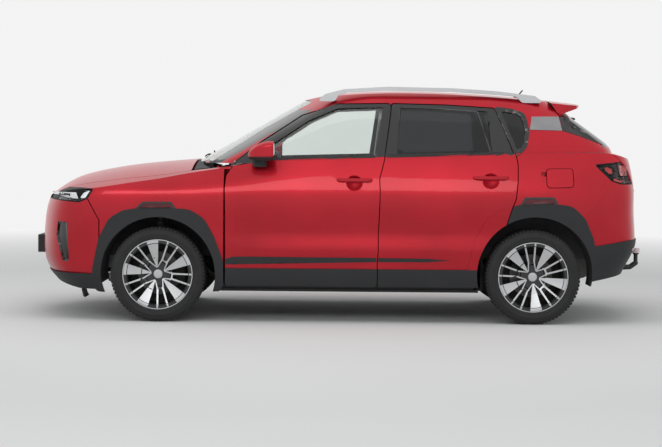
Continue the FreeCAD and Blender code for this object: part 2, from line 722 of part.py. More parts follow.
def fixed_glass():
    layer = upper_form(glass_inset).cut(upper_column(glass_inset + glass_thickness))
    screen = layer.common(screen_cutter(-2.0)).common(outside(0, 1050, 1075, 1700))
    quarter = pane(quarter_glass_outline)
    return Part.makeCompound([whole(screen), quarter, mirrored(quarter)])


def roof_panel():
    skin = upper_form(0.0).cut(upper_form(roof_thickness))
    zone = box(-1500, 420, -0.01, roof_seam_y, 1480, 1700)
    panel = skin.common(zone).cut(screen_cutter(0.0)).cut(tailgate_cutter(panel_gap))
    x, z = tailgate_pin_x, tailgate_pin_z
    panel = panel.cut(box(x - 95, x + 15, tailgate_arm_y - 13, tailgate_arm_y + 13, 1480, z + 13))
    clevis = box(x - 9, x + 9, tailgate_arm_y + 8, tailgate_arm_y + 20, z - 9, z + 20)
    pin = rod((x, tailgate_arm_y - 9, z), (x, tailgate_arm_y + 20, z), 5.0)
    return whole(panel.fuse([clevis, pin]))


def side_frame():
    """Body side: roof rail, pillars, quarter panel and rocker, with the door openings."""
    upper = upper_form(0.0).cut(upper_column(frame_thickness))
    cant = upper_form(0.0).cut(upper_column(frame_thickness + pillar_clearance + 34)).common(
        outside(-1500, 330, 1535, 1700))
    outer = upper.fuse(cant).common(outside(-2400, 1000, 1080, 1700))
    outer = outer.cut(box(-1500, 420, -1, roof_seam_y, 1480, 1700))
    outer = outer.cut(screen_cutter()).cut(tailgate_cutter(panel_gap))
    outer = outer.cut(door_gap_cutter(front_door_outline)).cut(door_gap_cutter(rear_door_outline))
    outer = outer.cut(outside(-980, 1300, 0, 1100)).cut(tail_lamp_space())
    quarter_zone = profile_bar([(-1000, 1260), (-1000, 560), (-1100, 480), (-1639.7, 480), (-1639.7, 720.3),
                                (-1861.7, 983.3), (-2400, 983.3), (-2400, 1260)], -0.01, 1150)
    quarter = lower_form(0.0).cut(lower_column(quarter_thickness)).common(quarter_zone)
    quarter = quarter.cut(door_gap_cutter(rear_door_outline)).cut(rear_trim_cutter())
    quarter = quarter.cut(tailgate_cutter(panel_gap)).cut(tail_lamp_space())
    backing = lower_column(skin_thickness).cut(lower_column(quarter_thickness)).common(quarter_zone)
    backing = backing.cut(arch_hole("rear")).cut(door_gap_cutter(rear_door_outline)).cut(
        tailgate_cutter(panel_gap)).cut(tail_lamp_space()).common(rear_trim_cutter())
    frame = outer.fuse(quarter).fuse(backing)
    inner_face = door_thickness + pillar_clearance
    post = lower_column(inner_face).cut(lower_column(inner_face + pillar_depth))
    a_post = post.common(outside(770, 905, 210, 1080))
    a_block = lower_form(18.0).cut(lower_column(inner_face + pillar_depth)).common(outside(846, 935, 940,
                                                                                           1140))
    a_block = a_block.cut(door_gap_cutter(front_door_outline))
    b_low = post.common(side_cutter([(-150, 210), (-150, 1120), (-330, 1120), (-350, 210)], slant=0.0))
    rocker = post.common(outside(-900, 905, 205, 330))
    c_zone = side_cutter([(-960, 205), (-960, 420), (-1120, 820), (-1130, 1120), (-1230, 1120),
                          (-1200, 820),
                          (-1150, 700), (-1010, 480)], slant=0.0).cut(arch_hole("rear", grown=4.0))
    c_side = lower_column(quarter_thickness - 10).cut(lower_column(inner_face + pillar_depth)).common(c_zone)
    c_post = post.common(c_zone).fuse(c_side.cut(door_gap_cutter(rear_door_outline)))
    upper_post = upper_column(frame_thickness + 8).cut(upper_column(frame_thickness + 8 + pillar_depth))
    b_high = upper_post.common(side_cutter([(-180, 1060), (-245, 1545), (-395, 1545), (-340, 1060)],
                                           slant=0.0))
    b_high = b_high.cut(lower_form(0.0).cut(lower_column(door_thickness + 16)))
    bridge = lower_form(30.0).cut(lower_column(inner_face + pillar_depth)).common(
        side_cutter([(-170, 1040), (-190, 1120), (-345, 1120), (-340, 1040)], slant=0.0))
    bridge = bridge.common(lower_column(door_thickness + 16))
    frame = frame.fuse([a_post, a_block, b_low, b_high, bridge, rocker, c_post])
    hinges = door_hinges(front_door_edge, inner_face) + door_hinges(rear_door_edge, inner_face)
    frame = frame.fuse(hinges + hood_hinge())
    frame = frame.cut(side_cutter(quarter_glass_outline, 16.0, slant=0.0))
    frame = frame.cut(pane(quarter_glass_outline))
    return frame


# Structure under the skins
def floor_pan():
    """Floor, firewall, wheel wells, front rails and bumper beams."""
    pieces = [box(-960, 900, -0.01, 735, 205, 222),
              box(-960, 880, -0.01, 120, 222, 370),
              box(876, 896, -0.01, 740, 205, 1040),
              box(880, 1060, -0.01, 700, 985, 1005),
              box(896, 2060, 372, 448, 430, 510),
              box(2040, 2085, -0.01, 530, 430, 540),
              box(1880, 1915, -0.01, 448, 300, 800),
              box(-1985, -960, -0.01, rear_well_wall, 560, 578),
              box(-976, -960, -0.01, 720, 205, 578),
              box(-1985, -1967, -0.01, rear_well_wall, 440, 590),
              box(-2003, -1985, -0.01, 480, 455, 545)]
    pan = pieces[0].fuse(pieces[1:])
    pan = pan.cut(box(-1000, 900, -1, 100, 200, 355))
    front_shell = Part.makeCylinder(arch_radius + 10, 850 - wheel_well_wall,
                                    V(front_axle_x, wheel_well_wall, hub_height),
                                    V(0, 1, 0))
    front_shell = front_shell.cut(arch_hole("front", 100.0))
    front_shell = front_shell.cut(box(0, 3000, 0, 1200, 0, 262))
    wall = box(front_axle_x - 404, front_axle_x + 404, wheel_well_wall - 8, wheel_well_wall, 430, 736)
    rear_centre = V(rear_axle_x - 12, rear_well_wall, hub_height + 16)
    rear_shell = Part.makeCylinder(arch_radius + 14, 850 - rear_well_wall, rear_centre, V(0, 1, 0))
    rear_shell = rear_shell.cut(arch_hole("rear", 100.0)).cut(box(-3000, 0, 0, 1200, 0, 262))
    rear_wall = Part.makeCylinder(arch_radius + 14, 8.0, rear_centre - V(0, 8, 0), V(0, 1, 0))
    rear_wall = rear_wall.cut(box(-3000, 0, 0, 1200, 0, 440))
    pan = pan.fuse([front_shell, wall, rear_shell, rear_wall])
    pan = pan.cut(arch_hole("front", wheel_well_wall)).cut(arch_hole("rear", rear_well_wall))
    pan = pan.cut(side_cutter(grow(rear_door_outline, panel_gap), 26.0, 780.0))
    limit = lower_form(skin_thickness + seam_gap)
    return pan.common(limit.fuse(box(-3000, 3000, -1, 600, 100, 800)))


def dashboard():
    top = profile_bar([(875.7, 660), (875.7, 1040), (760, 1082), (640, 1084), (580, 1056), (560, 980),
                       (610, 760),
                       (660, 650)], -0.01, 690, 30.0)
    console = profile_bar([(640, 370.3), (640, 760), (520, 620), (420, 520), (-180, 500), (-200, 370.3)],
                          -0.01, 105, 20.0)
    shaft = rod((430, 370, 1010), (430 + 0.9135 * 240, 370, 1010 - 0.4067 * 240), 18.0 + pin_play)
    top = top.cut(box(760, 880, 640, 700, 930, 1100))
    return whole(top.fuse(console)).cut(shaft)


def seats():
    pieces = []
    for side in (1, -1):
        low, high = (125, 615) if side > 0 else (-615, -125)
        cushion = profile_bar([(330, 300), (335, 440), (300, 462), (-120, 420), (-170, 400), (-170, 300)],
                              low, high, 30.0)
        back = profile_bar([(-110, 420), (-170, 330), (-230, 330), (-400, 985), (-375, 1020), (-300, 1020),
                            (-270, 990)],
                           low + 15, high - 15, 30.0)
        middle = (low + high) / 2
        head = profile_bar([(-318, 1015), (-402, 1015), (-425, 1190), (-400, 1215), (-350, 1210),
                            (-330, 1180)],
                           middle - 130, middle + 130, 25.0)
        base = box(-140, 290, low + 40, high - 40, 222.3, 302)
        pieces.append(cushion.fuse([back, head, base]))
    bench = profile_bar([(-430, 300), (-428, 440), (-460, 465), (-850, 420), (-900, 420), (-959.7, 578),
                         (-959.7, 222.3),
                         (-480, 222.3)], -560, 560, 20.0)
    back = profile_bar([(-840, 420), (-900, 420), (-959.7, 578.3), (-1090, 975), (-1070, 1005),
                        (-1010, 1010), (-980, 985)],
                       -560, 560, 25.0)
    bench = bench.fuse(back).cut(box(-970, -400, -120.3, 120.3, 200, 370.3))
    for middle in (-330, 330):
        bench = bench.fuse(profile_bar([(-1025, 1000), (-1088, 1000), (-1108, 1120), (-1085, 1145),
                                        (-1048, 1140),
                                        (-1030, 1115)], middle - 120, middle + 120, 20.0))
    pieces.append(bench)
    return Part.makeCompound(pieces)


def engine_block():
    block = box(1180, 1760, -320, 320, 330, 850)
    mounts = box(1420, 1500, -372, 372, 440, 500)
    return block.fuse(mounts)


def exhaust():
    stops = [(1179.7, 0, 392), (1110, 0, 392), (980, 0, 262), (-1000, 0, 262), (-1130, -60, 385),
             (-1300, -100, 385),
             (-1700, -80, 352)]
    silencer = rod((-1740, -430, 352), (-1740, 120, 352), 88)
    outlet = rod((-1740, -400, 330), (-1918, -450, 306), 28)
    hangers = [box(-1750, -1730, y - 10, y + 10, 430, 559.7) for y in (-290, 50)]
    hangers.append(box(-20, 20, -10, 10, 284, 354.7))
    body = bent_pipe(stops, exhaust_radius, 60.0)
    for piece in [silencer, outlet] + hangers:
        body = body.fuse(piece)
    return body


def roof_rails():
    upper_line = [(215, 1540), (150, 1592), (20, 1626), (-280, 1646), (-741, 1640), (-1049, 1622),
                  (-1330, 1590),
                  (-1400, 1540)]
    lower_line = [(-1240, 1540), (-1200, 1584), (-1049, 1596), (-741, 1614), (-280, 1620), (-10, 1604),
                  (60, 1585),
                  (80, 1540)]
    bar = profile_bar(upper_line + lower_line, rail_y - 17, rail_y + 17, 40.0)
    return bar.cut(upper_form(-seam_gap))


def tow_hitch():
    z = tow_ball_height
    beam = rod((-1936, -380, 395), (-1936, 380, 395), 28)
    neck = rod((-1936, 0, 392), (-2060, 0, 338), 19).fuse(Part.makeSphere(19, V(-2060, 0, 338)))
    neck = neck.fuse(rod((-2060, 0, 338), (-2130, 0, 342), 19)).fuse(Part.makeSphere(19, V(-2130, 0, 342)))
    bend = Part.makeSphere(19, V(tow_ball_x, 0, 372))
    neck = neck.fuse(rod((-2130, 0, 342), (tow_ball_x, 0, 372), 19)).fuse(bend)
    post = rod((tow_ball_x, 0, 372), (tow_ball_x, 0, z - 10), 15)
    ball = Part.makeSphere(tow_ball_diameter / 2, V(tow_ball_x, 0, z))
    cap = Part.makeCylinder(tow_ball_diameter / 2 + 4.0, 34.0, V(tow_ball_x, 0, z - 4))
    plates = [box(-1966.7, -1940, y - 6, y + 6, 395, 490) for y in (-300, 300)]
    return beam.fuse([neck, post, ball, cap] + plates)


def front_suspension():
    cross = box(1200, 1400, -430, 430, 190, 236)
    parts = []
    for side in (1, -1):
        arm = plan_cutter([(1220, side * 400), (1390, side * 400), (1322, side * (kingpin_y + 16)),
                           (1278, side * (kingpin_y + 16))], 14.0, 196, 214)
        top = plan_cutter([(1245, side * (wheel_well_wall - 20)), (1355, side * (wheel_well_wall - 20)),
                           (1318, side * (kingpin_y + 14)), (1282, side * (kingpin_y + 14))], 10.0, 700,
                          712)
        low_pin = Part.makeCylinder(8.0, 40, V(front_axle_x, side * kingpin_y, 210))
        top_pin = Part.makeCylinder(8.0, 30, V(front_axle_x, side * kingpin_y, 672))
        post = box(1270, 1330, min(side * 340, side * 380), max(side * 340, side * 380), 230, 560)
        parts += [arm, low_pin, post]
        tower = box(1260, 1340, min(side * 372, side * 444), max(side * 372, side * 444), 510, 712)
        parts += [top, top_pin, tower]
    rack = rod((1165, -420, 262), (1165, 420, 262), 24)
    carriers = box(1150, 1210, -200, -160, 205, 250).fuse(box(1150, 1210, 160, 200, 205, 250))
    return cross.fuse(parts + [rack, carriers])


def knuckle():
    """Steered upright with its spindle and brake caliper, left side."""
    upright = box(1272, 1328, 622, 658, 250, 640)
    neck = box(1280, 1320, 622, 658, 630, 690).fuse(box(1280, 1320, 650, kingpin_y + 16, 668, 690))
    boss = box(1276, 1324, 650, kingpin_y + 16, 222, 256)
    spindle = rod((front_axle_x, 640, hub_height), (front_axle_x, 806, hub_height), spindle_radius)
    caliper = box(1118, 1190, 700, 766, hub_height - 62, hub_height + 62)
    caliper = caliper.cut(Part.makeCylinder(disc_radius + 6, 32, V(front_axle_x, disc_y - 16, hub_height),
                                            V(0, 1, 0)))
    bridge = box(1150, 1280, 652, 704, hub_height - 40, hub_height + 40)
    steering_arm = box(1180, 1280, 630, 652, 262, 284)
    body = upright.fuse([neck, boss, spindle, caliper, bridge, steering_arm])
    for level, height in ((222, 34), (668, 22)):
        body = body.cut(Part.makeCylinder(8.0 + pin_play, height, V(front_axle_x, kingpin_y, level)))
    return body


def rear_axle():
    beam = rod((rear_axle_x + 90, -560, 300), (rear_axle_x + 90, 560, 300), 34)
    parts = []
    for side in (1, -1):
        arm = rod((rear_axle_x + 330, side * 560, 318), (rear_axle_x, side * 575, 318), 28)
        upright = box(rear_axle_x - 45, rear_axle_x + 45, min(side * 575, side * 640),
                      max(side * 575, side * 640),
                      270, 386)
        pin = rod((rear_axle_x, side * 600, hub_height), (rear_axle_x, side * 806, hub_height),
                  spindle_radius)
        spring = Part.makeCylinder(52, 560 - 320, V(rear_axle_x + 20, side * 480, 320))
        seat_plate = box(rear_axle_x - 40, rear_axle_x + 90, min(side * 430, side * 580),
                         max(side * 430, side * 580),
                         304, 322)
        mount = box(rear_axle_x + 300, rear_axle_x + 324 + 16, min(side * 530, side * 590),
                    max(side * 530, side * 590), 300, 400)
        parts += [arm, upright, pin, spring, seat_plate, mount]
    return beam.fuse(parts)


def revolve_y(points, x, z):
    """Solid of revolution about the axle through (x, z), from (radius, y) points."""
    flat = [V(x + r, y, z) for r, y in points]
    return Part.Face(Part.makePolygon(flat + [flat[0]])).revolve(V(x, 0, z), V(0, 1, 0), 360)


def tyre(axle_x):
    inner, outer = track_half - tyre_width / 2, track_half + tyre_width / 2
    bead_in, bead_out = inner + 21, outer - 21
    r = tyre_radius
    bead = rim_radius - 17 + seam_gap
    points = [(bead, bead_in), (rim_radius + 2, bead_in), (rim_radius + 24, inner + 1), (r - 32, inner),
              (r - 10, inner + 9), (r, inner + 30), (r, outer - 30), (r - 10, outer - 9), (r - 32, outer),
              (rim_radius + 24, outer - 1), (rim_radius + 2, bead_out), (bead, bead_out)]
    return revolve_y(points, axle_x, hub_height)


def rim(axle_x, phase):
    """Alloy wheel with five broad and ten thin spokes, its hub and brake disc."""
    inner = track_half - tyre_width / 2 + 21 - seam_gap - 8
    outer = track_half + tyre_width / 2 - 21 + seam_gap + 8
    seat_r = rim_radius - 17
    barrel = revolve_y([(seat_r - 8, inner), (rim_radius, inner), (rim_radius, inner + 8),
                        (seat_r, inner + 8),
                        (seat_r, outer - 8), (rim_radius, outer - 8), (rim_radius, outer),
                        (lip_radius, outer),
                        (lip_radius, outer - 4), (seat_r - 8, outer - 4)],
                       axle_x, hub_height)
    face = revolve_y([(0.0, 838), (34, 838), (36, 832), (82, 834), (92, 845), (seat_r - 4, outer - 7),
                      (seat_r - 4, outer - 34), (90, 812), (0.0, 806)], axle_x, hub_height)

    def window(points):
        flat = []
        for r, degrees in points:
            a = math.radians(degrees + 90)
            flat.append(V(axle_x + r * math.cos(a), 700, hub_height + r * math.sin(a)))
        return Part.Face(rounded_wire(flat, 8.0)).extrude(V(0, 250, 0))

    rim_r = seat_r - 8
    cutters = []
    for i in range(spoke_count):
        middle = phase + (i + 0.5) * 360.0 / spoke_count
        for side in (1, -1):
            cutters.append(window([(rim_r, middle + side * 26.0), (rim_r, middle + side * 10.6),
                                   (100, middle + side * 14.0), (88, middle + side * 27.0)]))
        cutters.append(window([(rim_r, middle + 7.7), (rim_r, middle - 7.7), (104, middle - 7.0),
                               (104, middle + 7.0)]))
        bolt_angle = math.radians(middle + 90)
        bolt = V(axle_x + bolt_circle * math.cos(bolt_angle), 826,
                 hub_height + bolt_circle * math.sin(bolt_angle))
        cutters.append(Part.makeCylinder(11.0, 30, bolt, V(0, 1, 0)))
    face = face.cut(cutters)
    hub = revolve_y([(0, 752), (70, 752), (70, 838), (0, 838)], axle_x, hub_height)
    disc = revolve_y([(40, disc_y - 11), (disc_radius, disc_y - 11), (disc_radius, disc_y + 11),
                      (70, disc_y + 11),
                      (70, 760), (40, 760)], axle_x, hub_height)
    body = barrel.fuse([face, hub, disc])
    return body.cut(rod((axle_x, 600, hub_height), (axle_x, 806 + pin_play, hub_height),
                        spindle_radius + pin_play))


def steering_wheel():
    centre = V(430, 370, 1010)
    tilt = 24.0
    ring = Part.makeTorus(178, 15, V(0, 0, 0), V(0, 0, 1))
    hub = Part.makeCylinder(58, 40, V(0, 0, -34))
    spokes = [Part.makeBox(150, 34, 16, V(30, -17, -20)), Part.makeBox(150, 34, 16, V(-180, -17, -20)),
              Part.makeBox(40, 150, 16, V(-20, -180, -20))]
    shaft = Part.makeCylinder(18, 225, V(0, 0, -235))
    wheel = ring.fuse([hub, shaft] + spokes)
    wheel.rotate(V(0, 0, 0), V(0, 0, 1), 90)
    wheel.rotate(V(0, 0, 0), V(0, 1, 0), -90 + tilt)
    wheel.translate(centre)
    return wheel


def lamp_face(body, outline, inner_y, lights):
    """Lamp body with its face sunk inside a rim, and its lights raised on it."""
    sunk = lower_form(0.0).cut(lower_column(lamp_sink))
    body = body.cut(sunk.common(profile_bar(grow(outline, -lamp_rim), inner_y + lamp_rim, 1150, 6.0)))
    layer = lower_column(lamp_sink - light_rise).cut(lower_column(lamp_sink + 4.0))
    raised = [layer.common(profile_bar(light, inner_y + lamp_rim + 4, 1150, 3.0)) for light in lights]
    return body.fuse(raised)


def headlamp():
    body = lower_form(0.0).cut(lower_column(110.0)).common(headlamp_space())
    body = lamp_face(body, headlamp_outline, 410, [head_light_bar, head_light_block])
    return body.cut(hood_cutter(panel_gap))


def tail_lamp():
    body = lower_form(0.0).cut(lower_column(70.0)).common(tail_lamp_space())
    body = lamp_face(body, tail_lamp_outline, 590, [tail_light_front, tail_light_rear, tail_light_strip])
    return body.cut(tailgate_cutter(panel_gap))


def grille():
    """Slatted grille in the bumper's opening, with the vent inserts at the corners."""
    layer = lower_column(20.0).cut(lower_column(46.0)).common(grille_cutter(-seam_gap))
    back = lower_column(36.0).cut(lower_column(46.0)).common(grille_cutter(-seam_gap))
    slats = []
    for i in range(grille_slats):
        z = 490 + i * (760 - 490) / (grille_slats - 1)
        slats.append(box(1950, 2400, -0.01, 500, z - 9, z + 9))
    rim_ring = layer.cut(grille_cutter(-22.0))
    bars = layer.common(slats[0].fuse(slats[1:]))
    body = back.fuse([bars, rim_ring])
    vent = lower_column(8.0).cut(lower_column(30.0)).common(vent_cutter(-seam_gap))
    body = whole(body)
    vents = vent
    return Part.makeCompound([body, vents, mirrored(vents)])


def skin_width(x, z):
    """Half-width of the painted skin at one point of the lower body."""
    return Part.makeLine(V(x, 0, z), V(x, 1200, z)).common(lower_column(0.0)).BoundBox.YMax


def fuel_flap():
    """Filler flap with its hooked hinge arm, which swings clear of the skin in front of it."""
    x, y = flap_pin_x, flap_pin_y()
    door = lower_form(0.0).cut(lower_column(8.0)).common(side_cutter(fuel_flap_outline, 24.0, slant=0.0))
    low, high = flap_pin_z - 12, flap_pin_z + 12
    arm = box(x - 4, x + 4, y - 36, y + 4, low, high)
    arm = arm.fuse([box(x - 62, x + 4, y - 36, y - 28, low, high), box(x - 62, x - 52, y - 36, y + 9, low, high)])
    arm = arm.fuse(Part.makeCylinder(5.5, high - low, V(x, y, low)))
    arm = arm.cut(Part.makeCylinder(3.0 + pin_play, 200, V(x, y, low - 80)))
    return door.fuse(arm)


def flap_pin_y():
    return skin_width(flap_pin_x, flap_pin_z) - 12.0


def fuel_pocket():
    """Recess behind the filler flap, with the bracket and pin that stand in it."""
    x, y = flap_pin_x, flap_pin_y()
    hole = side_cutter(grow(fuel_flap_outline, 5.0), 28.0, y - 44, 1150.0, 0.0)
    front = box(x - 40, x + 12, y - 44, y + 8, flap_pin_z - 42, flap_pin_z + 42)
    bracket = box(x - 4, x + 13, y - 4, y + 4, flap_pin_z - 24, flap_pin_z - 13)
    bracket = bracket.fuse(box(x - 4, x + 13, y - 4, y + 4, flap_pin_z + 13, flap_pin_z + 24))
    pin = Part.makeCylinder(3.0, 48, V(x, y, flap_pin_z - 24))
    return hole.fuse(front), bracket.fuse(pin)


def save(name, shape):
    shape.translate(V(-frame_shift, 0, 0))
    shape.exportStep(os.path.join(OUT, name + ".step"))
    state = "ok" if shape.isValid() else "BROKEN"
    print(name, state, len(shape.Solids), round(shape.Volume / 1e6, 2))


def main():
    left_frame = side_frame()
    suspension = front_suspension()
    axle = rear_axle()
    pan = floor_pan().cut(left_frame).cut(suspension).cut(axle)
    save("floor_pan", pan.fuse(mirrored(pan)))
    right_frame = mirrored(left_frame)
    pocket, flap_hinge = fuel_pocket()
    left_frame = left_frame.cut(pocket).fuse(flap_hinge)
    save("side_frames", Part.makeCompound([left_frame, right_frame]))
    save("roof_panel", roof_panel())
    save("front_fenders", front_fender())
    save("front_bumper", front_bumper())
    save("grille", grille())
    save("headlamps", both(headlamp()))
    save("tail_lamps", both(tail_lamp()))
    save("rear_bumper", rear_bumper())
    save("lower_cladding", lower_cladding())
    save("fixed_glass", fixed_glass())
    save("roof_rails", both(roof_rails()))
    save("tow_hitch", tow_hitch())
    save("dashboard", dashboard())
    save("seats", seats())
    save("engine_block", engine_block())
    save("exhaust", exhaust())
    save("front_suspension", suspension)
    save("rear_axle", axle)
    save("hood", hood())
    save("cowl_panel", cowl_panel())
    glass = rear_window()
    save("tailgate", tailgate().cut(glass))
    save("rear_window", glass)
    save("fuel_flap", fuel_flap())
    save("steering_wheel", steering_wheel())
    front = door_panel(front_door_outline, front_glass_outline, front_door_edge, -57.0, 994.0)
    rear = door_panel(rear_door_outline, rear_glass_outline, rear_door_edge, -998.0, 1016.0)
    front_pane = pane(front_glass_outline)
    rear_pane = pane(rear_glass_outline)
    front = front.cut(front_pane)
    rear = rear.cut(rear_pane)
    mirror = door_mirror().cut(front).cut(front_pane)
    upright = knuckle()
    pieces = {"front_door": front, "rear_door": rear, "front_door_glass": front_pane,
              "rear_door_glass": rear_pane,
              "door_mirror": mirror, "knuckle": upright, "front_tyre": tyre(front_axle_x),
              "rear_tyre": tyre(rear_axle_x), "front_rim": rim(front_axle_x, -9.0),
              "rear_rim": rim(rear_axle_x, 30.0)}
    for name, shape in pieces.items():
        twin = mirrored(shape)
        save(name + "_left", shape)
        save(name + "_right", twin)


if __name__ == "__main__":
    main()
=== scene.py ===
import bpy, bmesh, math
from mathutils import Vector, Matrix
from mathutils.bvhtree import BVHTree


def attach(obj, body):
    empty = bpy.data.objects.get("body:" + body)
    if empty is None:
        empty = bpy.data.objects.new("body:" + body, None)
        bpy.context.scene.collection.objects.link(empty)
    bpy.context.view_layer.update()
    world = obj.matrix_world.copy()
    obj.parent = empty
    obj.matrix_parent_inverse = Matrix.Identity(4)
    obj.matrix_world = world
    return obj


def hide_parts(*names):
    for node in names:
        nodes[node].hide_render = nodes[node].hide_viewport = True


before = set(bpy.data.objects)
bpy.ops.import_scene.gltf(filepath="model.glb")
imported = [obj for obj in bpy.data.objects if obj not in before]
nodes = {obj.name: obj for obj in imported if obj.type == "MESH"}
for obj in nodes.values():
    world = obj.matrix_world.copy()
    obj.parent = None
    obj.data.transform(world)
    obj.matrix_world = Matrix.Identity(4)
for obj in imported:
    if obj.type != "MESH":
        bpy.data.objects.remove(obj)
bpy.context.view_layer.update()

sides = (("left", 1.0), ("right", -1.0))
# stations run from the middle of the wheelbase, which is this far (mm) ahead of the origin
originShift = 18.0
wheelStations = {"front": 1300.0, "rear": -1300.0}
hubHeight = 328.0


def metres(x, y, z):
    return Vector(((x - originShift) / 1000, y / 1000, z / 1000))


# Materials: every look reads Object coordinates
def newMaterial(name):
    material = bpy.data.materials.new(name)
    material.use_nodes = True
    tree = material.node_tree
    return material, tree, tree.nodes["Principled BSDF"]


def objectPlace(tree):
    return tree.nodes.new("ShaderNodeTexCoord").outputs["Object"]


def noise(tree, vector, scale, detail=2.0):
    node = tree.nodes.new("ShaderNodeTexNoise")
    node.inputs["Scale"].default_value = scale
    node.inputs["Detail"].default_value = detail
    tree.links.new(vector, node.inputs["Vector"])
    return node.outputs["Fac"]


def cells(tree, vector, scale, output="Distance"):
    node = tree.nodes.new("ShaderNodeTexVoronoi")
    node.inputs["Scale"].default_value = scale
    tree.links.new(vector, node.inputs["Vector"])
    return node.outputs[output]


def weave(tree, vector, scale, direction):
    node = tree.nodes.new("ShaderNodeTexWave")
    node.wave_type = "BANDS"
    node.bands_direction = direction
    node.inputs["Scale"].default_value = scale
    node.inputs["Distortion"].default_value = 0.6
    tree.links.new(vector, node.inputs["Vector"])
    return node.outputs["Fac"]


def colourRamp(tree, source, stops):
    ramp = tree.nodes.new("ShaderNodeValToRGB")
    for element, (position, colour) in zip(ramp.color_ramp.elements, (stops[0], stops[-1])):
        element.position = position
        element.color = colour
    for position, colour in stops[1:-1]:
        ramp.color_ramp.elements.new(position).color = colour
    tree.links.new(source, ramp.inputs["Fac"])
    return ramp.outputs["Color"]


def valueRange(tree, source, low, high, fromLow=0.0, fromHigh=1.0):
    node = tree.nodes.new("ShaderNodeMapRange")
    for socket, value in (("From Min", fromLow), ("From Max", fromHigh), ("To Min", low), ("To Max", high)):
        node.inputs[socket].default_value = value
    tree.links.new(source, node.inputs["Value"])
    return node.outputs["Result"]


def bump(tree, shader, height, strength, distance):
    node = tree.nodes.new("ShaderNodeBump")
    node.inputs["Strength"].default_value = strength
    node.inputs["Distance"].default_value = distance
    tree.links.new(height, node.inputs["Height"])
    tree.links.new(node.outputs["Normal"], shader.inputs["Normal"])


def shade(colour, factor):
    return (colour[0] * factor, colour[1] * factor, colour[2] * factor, 1.0)


def surface(name, colour, roughness, variation=0.1, grainScale=400.0, grainHeight=0.0, patchScale=6.0,
            spread=0.06, metallic=0.0, coat=0.0, specular=0.5):
    material, tree, shader = newMaterial(name)
    place = objectPlace(tree)
    stops = [(0.3, shade(colour, 1.0 - variation)), (0.7, shade(colour, 1.0 + variation))]
    tree.links.new(colourRamp(tree, noise(tree, place, patchScale, 4.0), stops), shader.inputs["Base Color"])
    fine = noise(tree, place, grainScale)
    tree.links.new(valueRange(tree, fine, roughness - spread, roughness + spread), shader.inputs["Roughness"])
    if grainHeight:
        bump(tree, shader, cells(tree, place, grainScale), 0.6, grainHeight)
    shader.inputs["Metallic"].default_value = metallic
    shader.inputs["Coat Weight"].default_value = coat
    shader.inputs["Coat Roughness"].default_value = 0.03
    shader.inputs["Specular IOR Level"].default_value = specular
    return material


paintLook = {"deep": (0.40, 0.003, 0.012), "bright": (0.52, 0.006, 0.020), "flake": (0.80, 0.05, 0.08),
             "flakeScale": 1500.0, "flakeShare": 0.25, "metallic": 0.60, "roughness": 0.33, "coat": 0.42}


def candyPaint():
    material, tree, shader = newMaterial("candyRedPaint")
    place = objectPlace(tree)
    stops = [(0.25, (*paintLook["deep"], 1)), (0.75, (*paintLook["bright"], 1))]
    base = colourRamp(tree, noise(tree, place, 2.2), stops)
    grey = tree.nodes.new("ShaderNodeRGBToBW")
    tree.links.new(cells(tree, place, paintLook["flakeScale"], "Color"), grey.inputs["Color"])
    mix = tree.nodes.new("ShaderNodeMix")
    mix.data_type = "RGBA"
    colourInputs = [socket for socket in mix.inputs if socket.type == "RGBA"]
    tree.links.new(base, colourInputs[0])
    colourInputs[1].default_value = (*paintLook["flake"], 1)
    share = valueRange(tree, grey.outputs["Val"], 0.0, paintLook["flakeShare"], 0.70, 0.95)
    tree.links.new(share, mix.inputs["Factor"])
    result = [socket for socket in mix.outputs if socket.type == "RGBA"][0]
    tree.links.new(result, shader.inputs["Base Color"])
    roughness = paintLook["roughness"]
    tree.links.new(valueRange(tree, grey.outputs["Val"], roughness - 0.06, roughness + 0.06),
                   shader.inputs["Roughness"])
    shader.inputs["Metallic"].default_value = paintLook["metallic"]
    shader.inputs["Coat Weight"].default_value = paintLook["coat"]
    shader.inputs["Coat Roughness"].default_value = 0.03
    shader.inputs["Specular IOR Level"].default_value = 0.3
    return material


def glass(name, tint, shadowTint, bending=1.45):
    material, tree, shader = newMaterial(name)
    place = objectPlace(tree)
    stops = [(0.0, shade(tint, 0.97)), (1.0, shade(tint, 1.03))]
    tree.links.new(colourRamp(tree, noise(tree, place, 3.0), stops), shader.inputs["Base Color"])
    shader.inputs["Transmission Weight"].default_value = 1.0
    shader.inputs["IOR"].default_value = bending
    tree.links.new(valueRange(tree, noise(tree, place, 9.0), 0.0, 0.03), shader.inputs["Roughness"])
    passing = tree.nodes.new("ShaderNodeBsdfTransparent")
    passing.inputs["Color"].default_value = (*shadowTint, 1)
    mix = tree.nodes.new("ShaderNodeMixShader")
    tree.links.new(tree.nodes.new("ShaderNodeLightPath").outputs["Is Shadow Ray"], mix.inputs["Fac"])
    tree.links.new(shader.outputs["BSDF"], mix.inputs[1])
    tree.links.new(passing.outputs["BSDF"], mix.inputs[2])
    tree.links.new(mix.outputs["Shader"], tree.nodes["Material Output"].inputs["Surface"])
    return material


def wovenCloth(name, colour, scale=900.0):
    material, tree, shader = newMaterial(name)
    place = objectPlace(tree)
    across = weave(tree, place, scale, "X")
    along = weave(tree, place, scale, "Z")
    both = tree.nodes.new("ShaderNodeMath")
    both.operation = "MULTIPLY"
    tree.links.new(across, both.inputs[0])
    tree.links.new(along, both.inputs[1])
    stops = [(0.1, shade(colour, 0.72)), (0.9, shade(colour, 1.35))]
    tree.links.new(colourRamp(tree, both.outputs["Value"], stops), shader.inputs["Base Color"])
    bump(tree, shader, both.outputs["Value"], 0.5, 0.0007)
    tree.links.new(valueRange(tree, noise(tree, place, 14.0), 0.82, 0.95), shader.inputs["Roughness"])
    shader.inputs["Sheen Weight"].default_value = 0.35
    return material


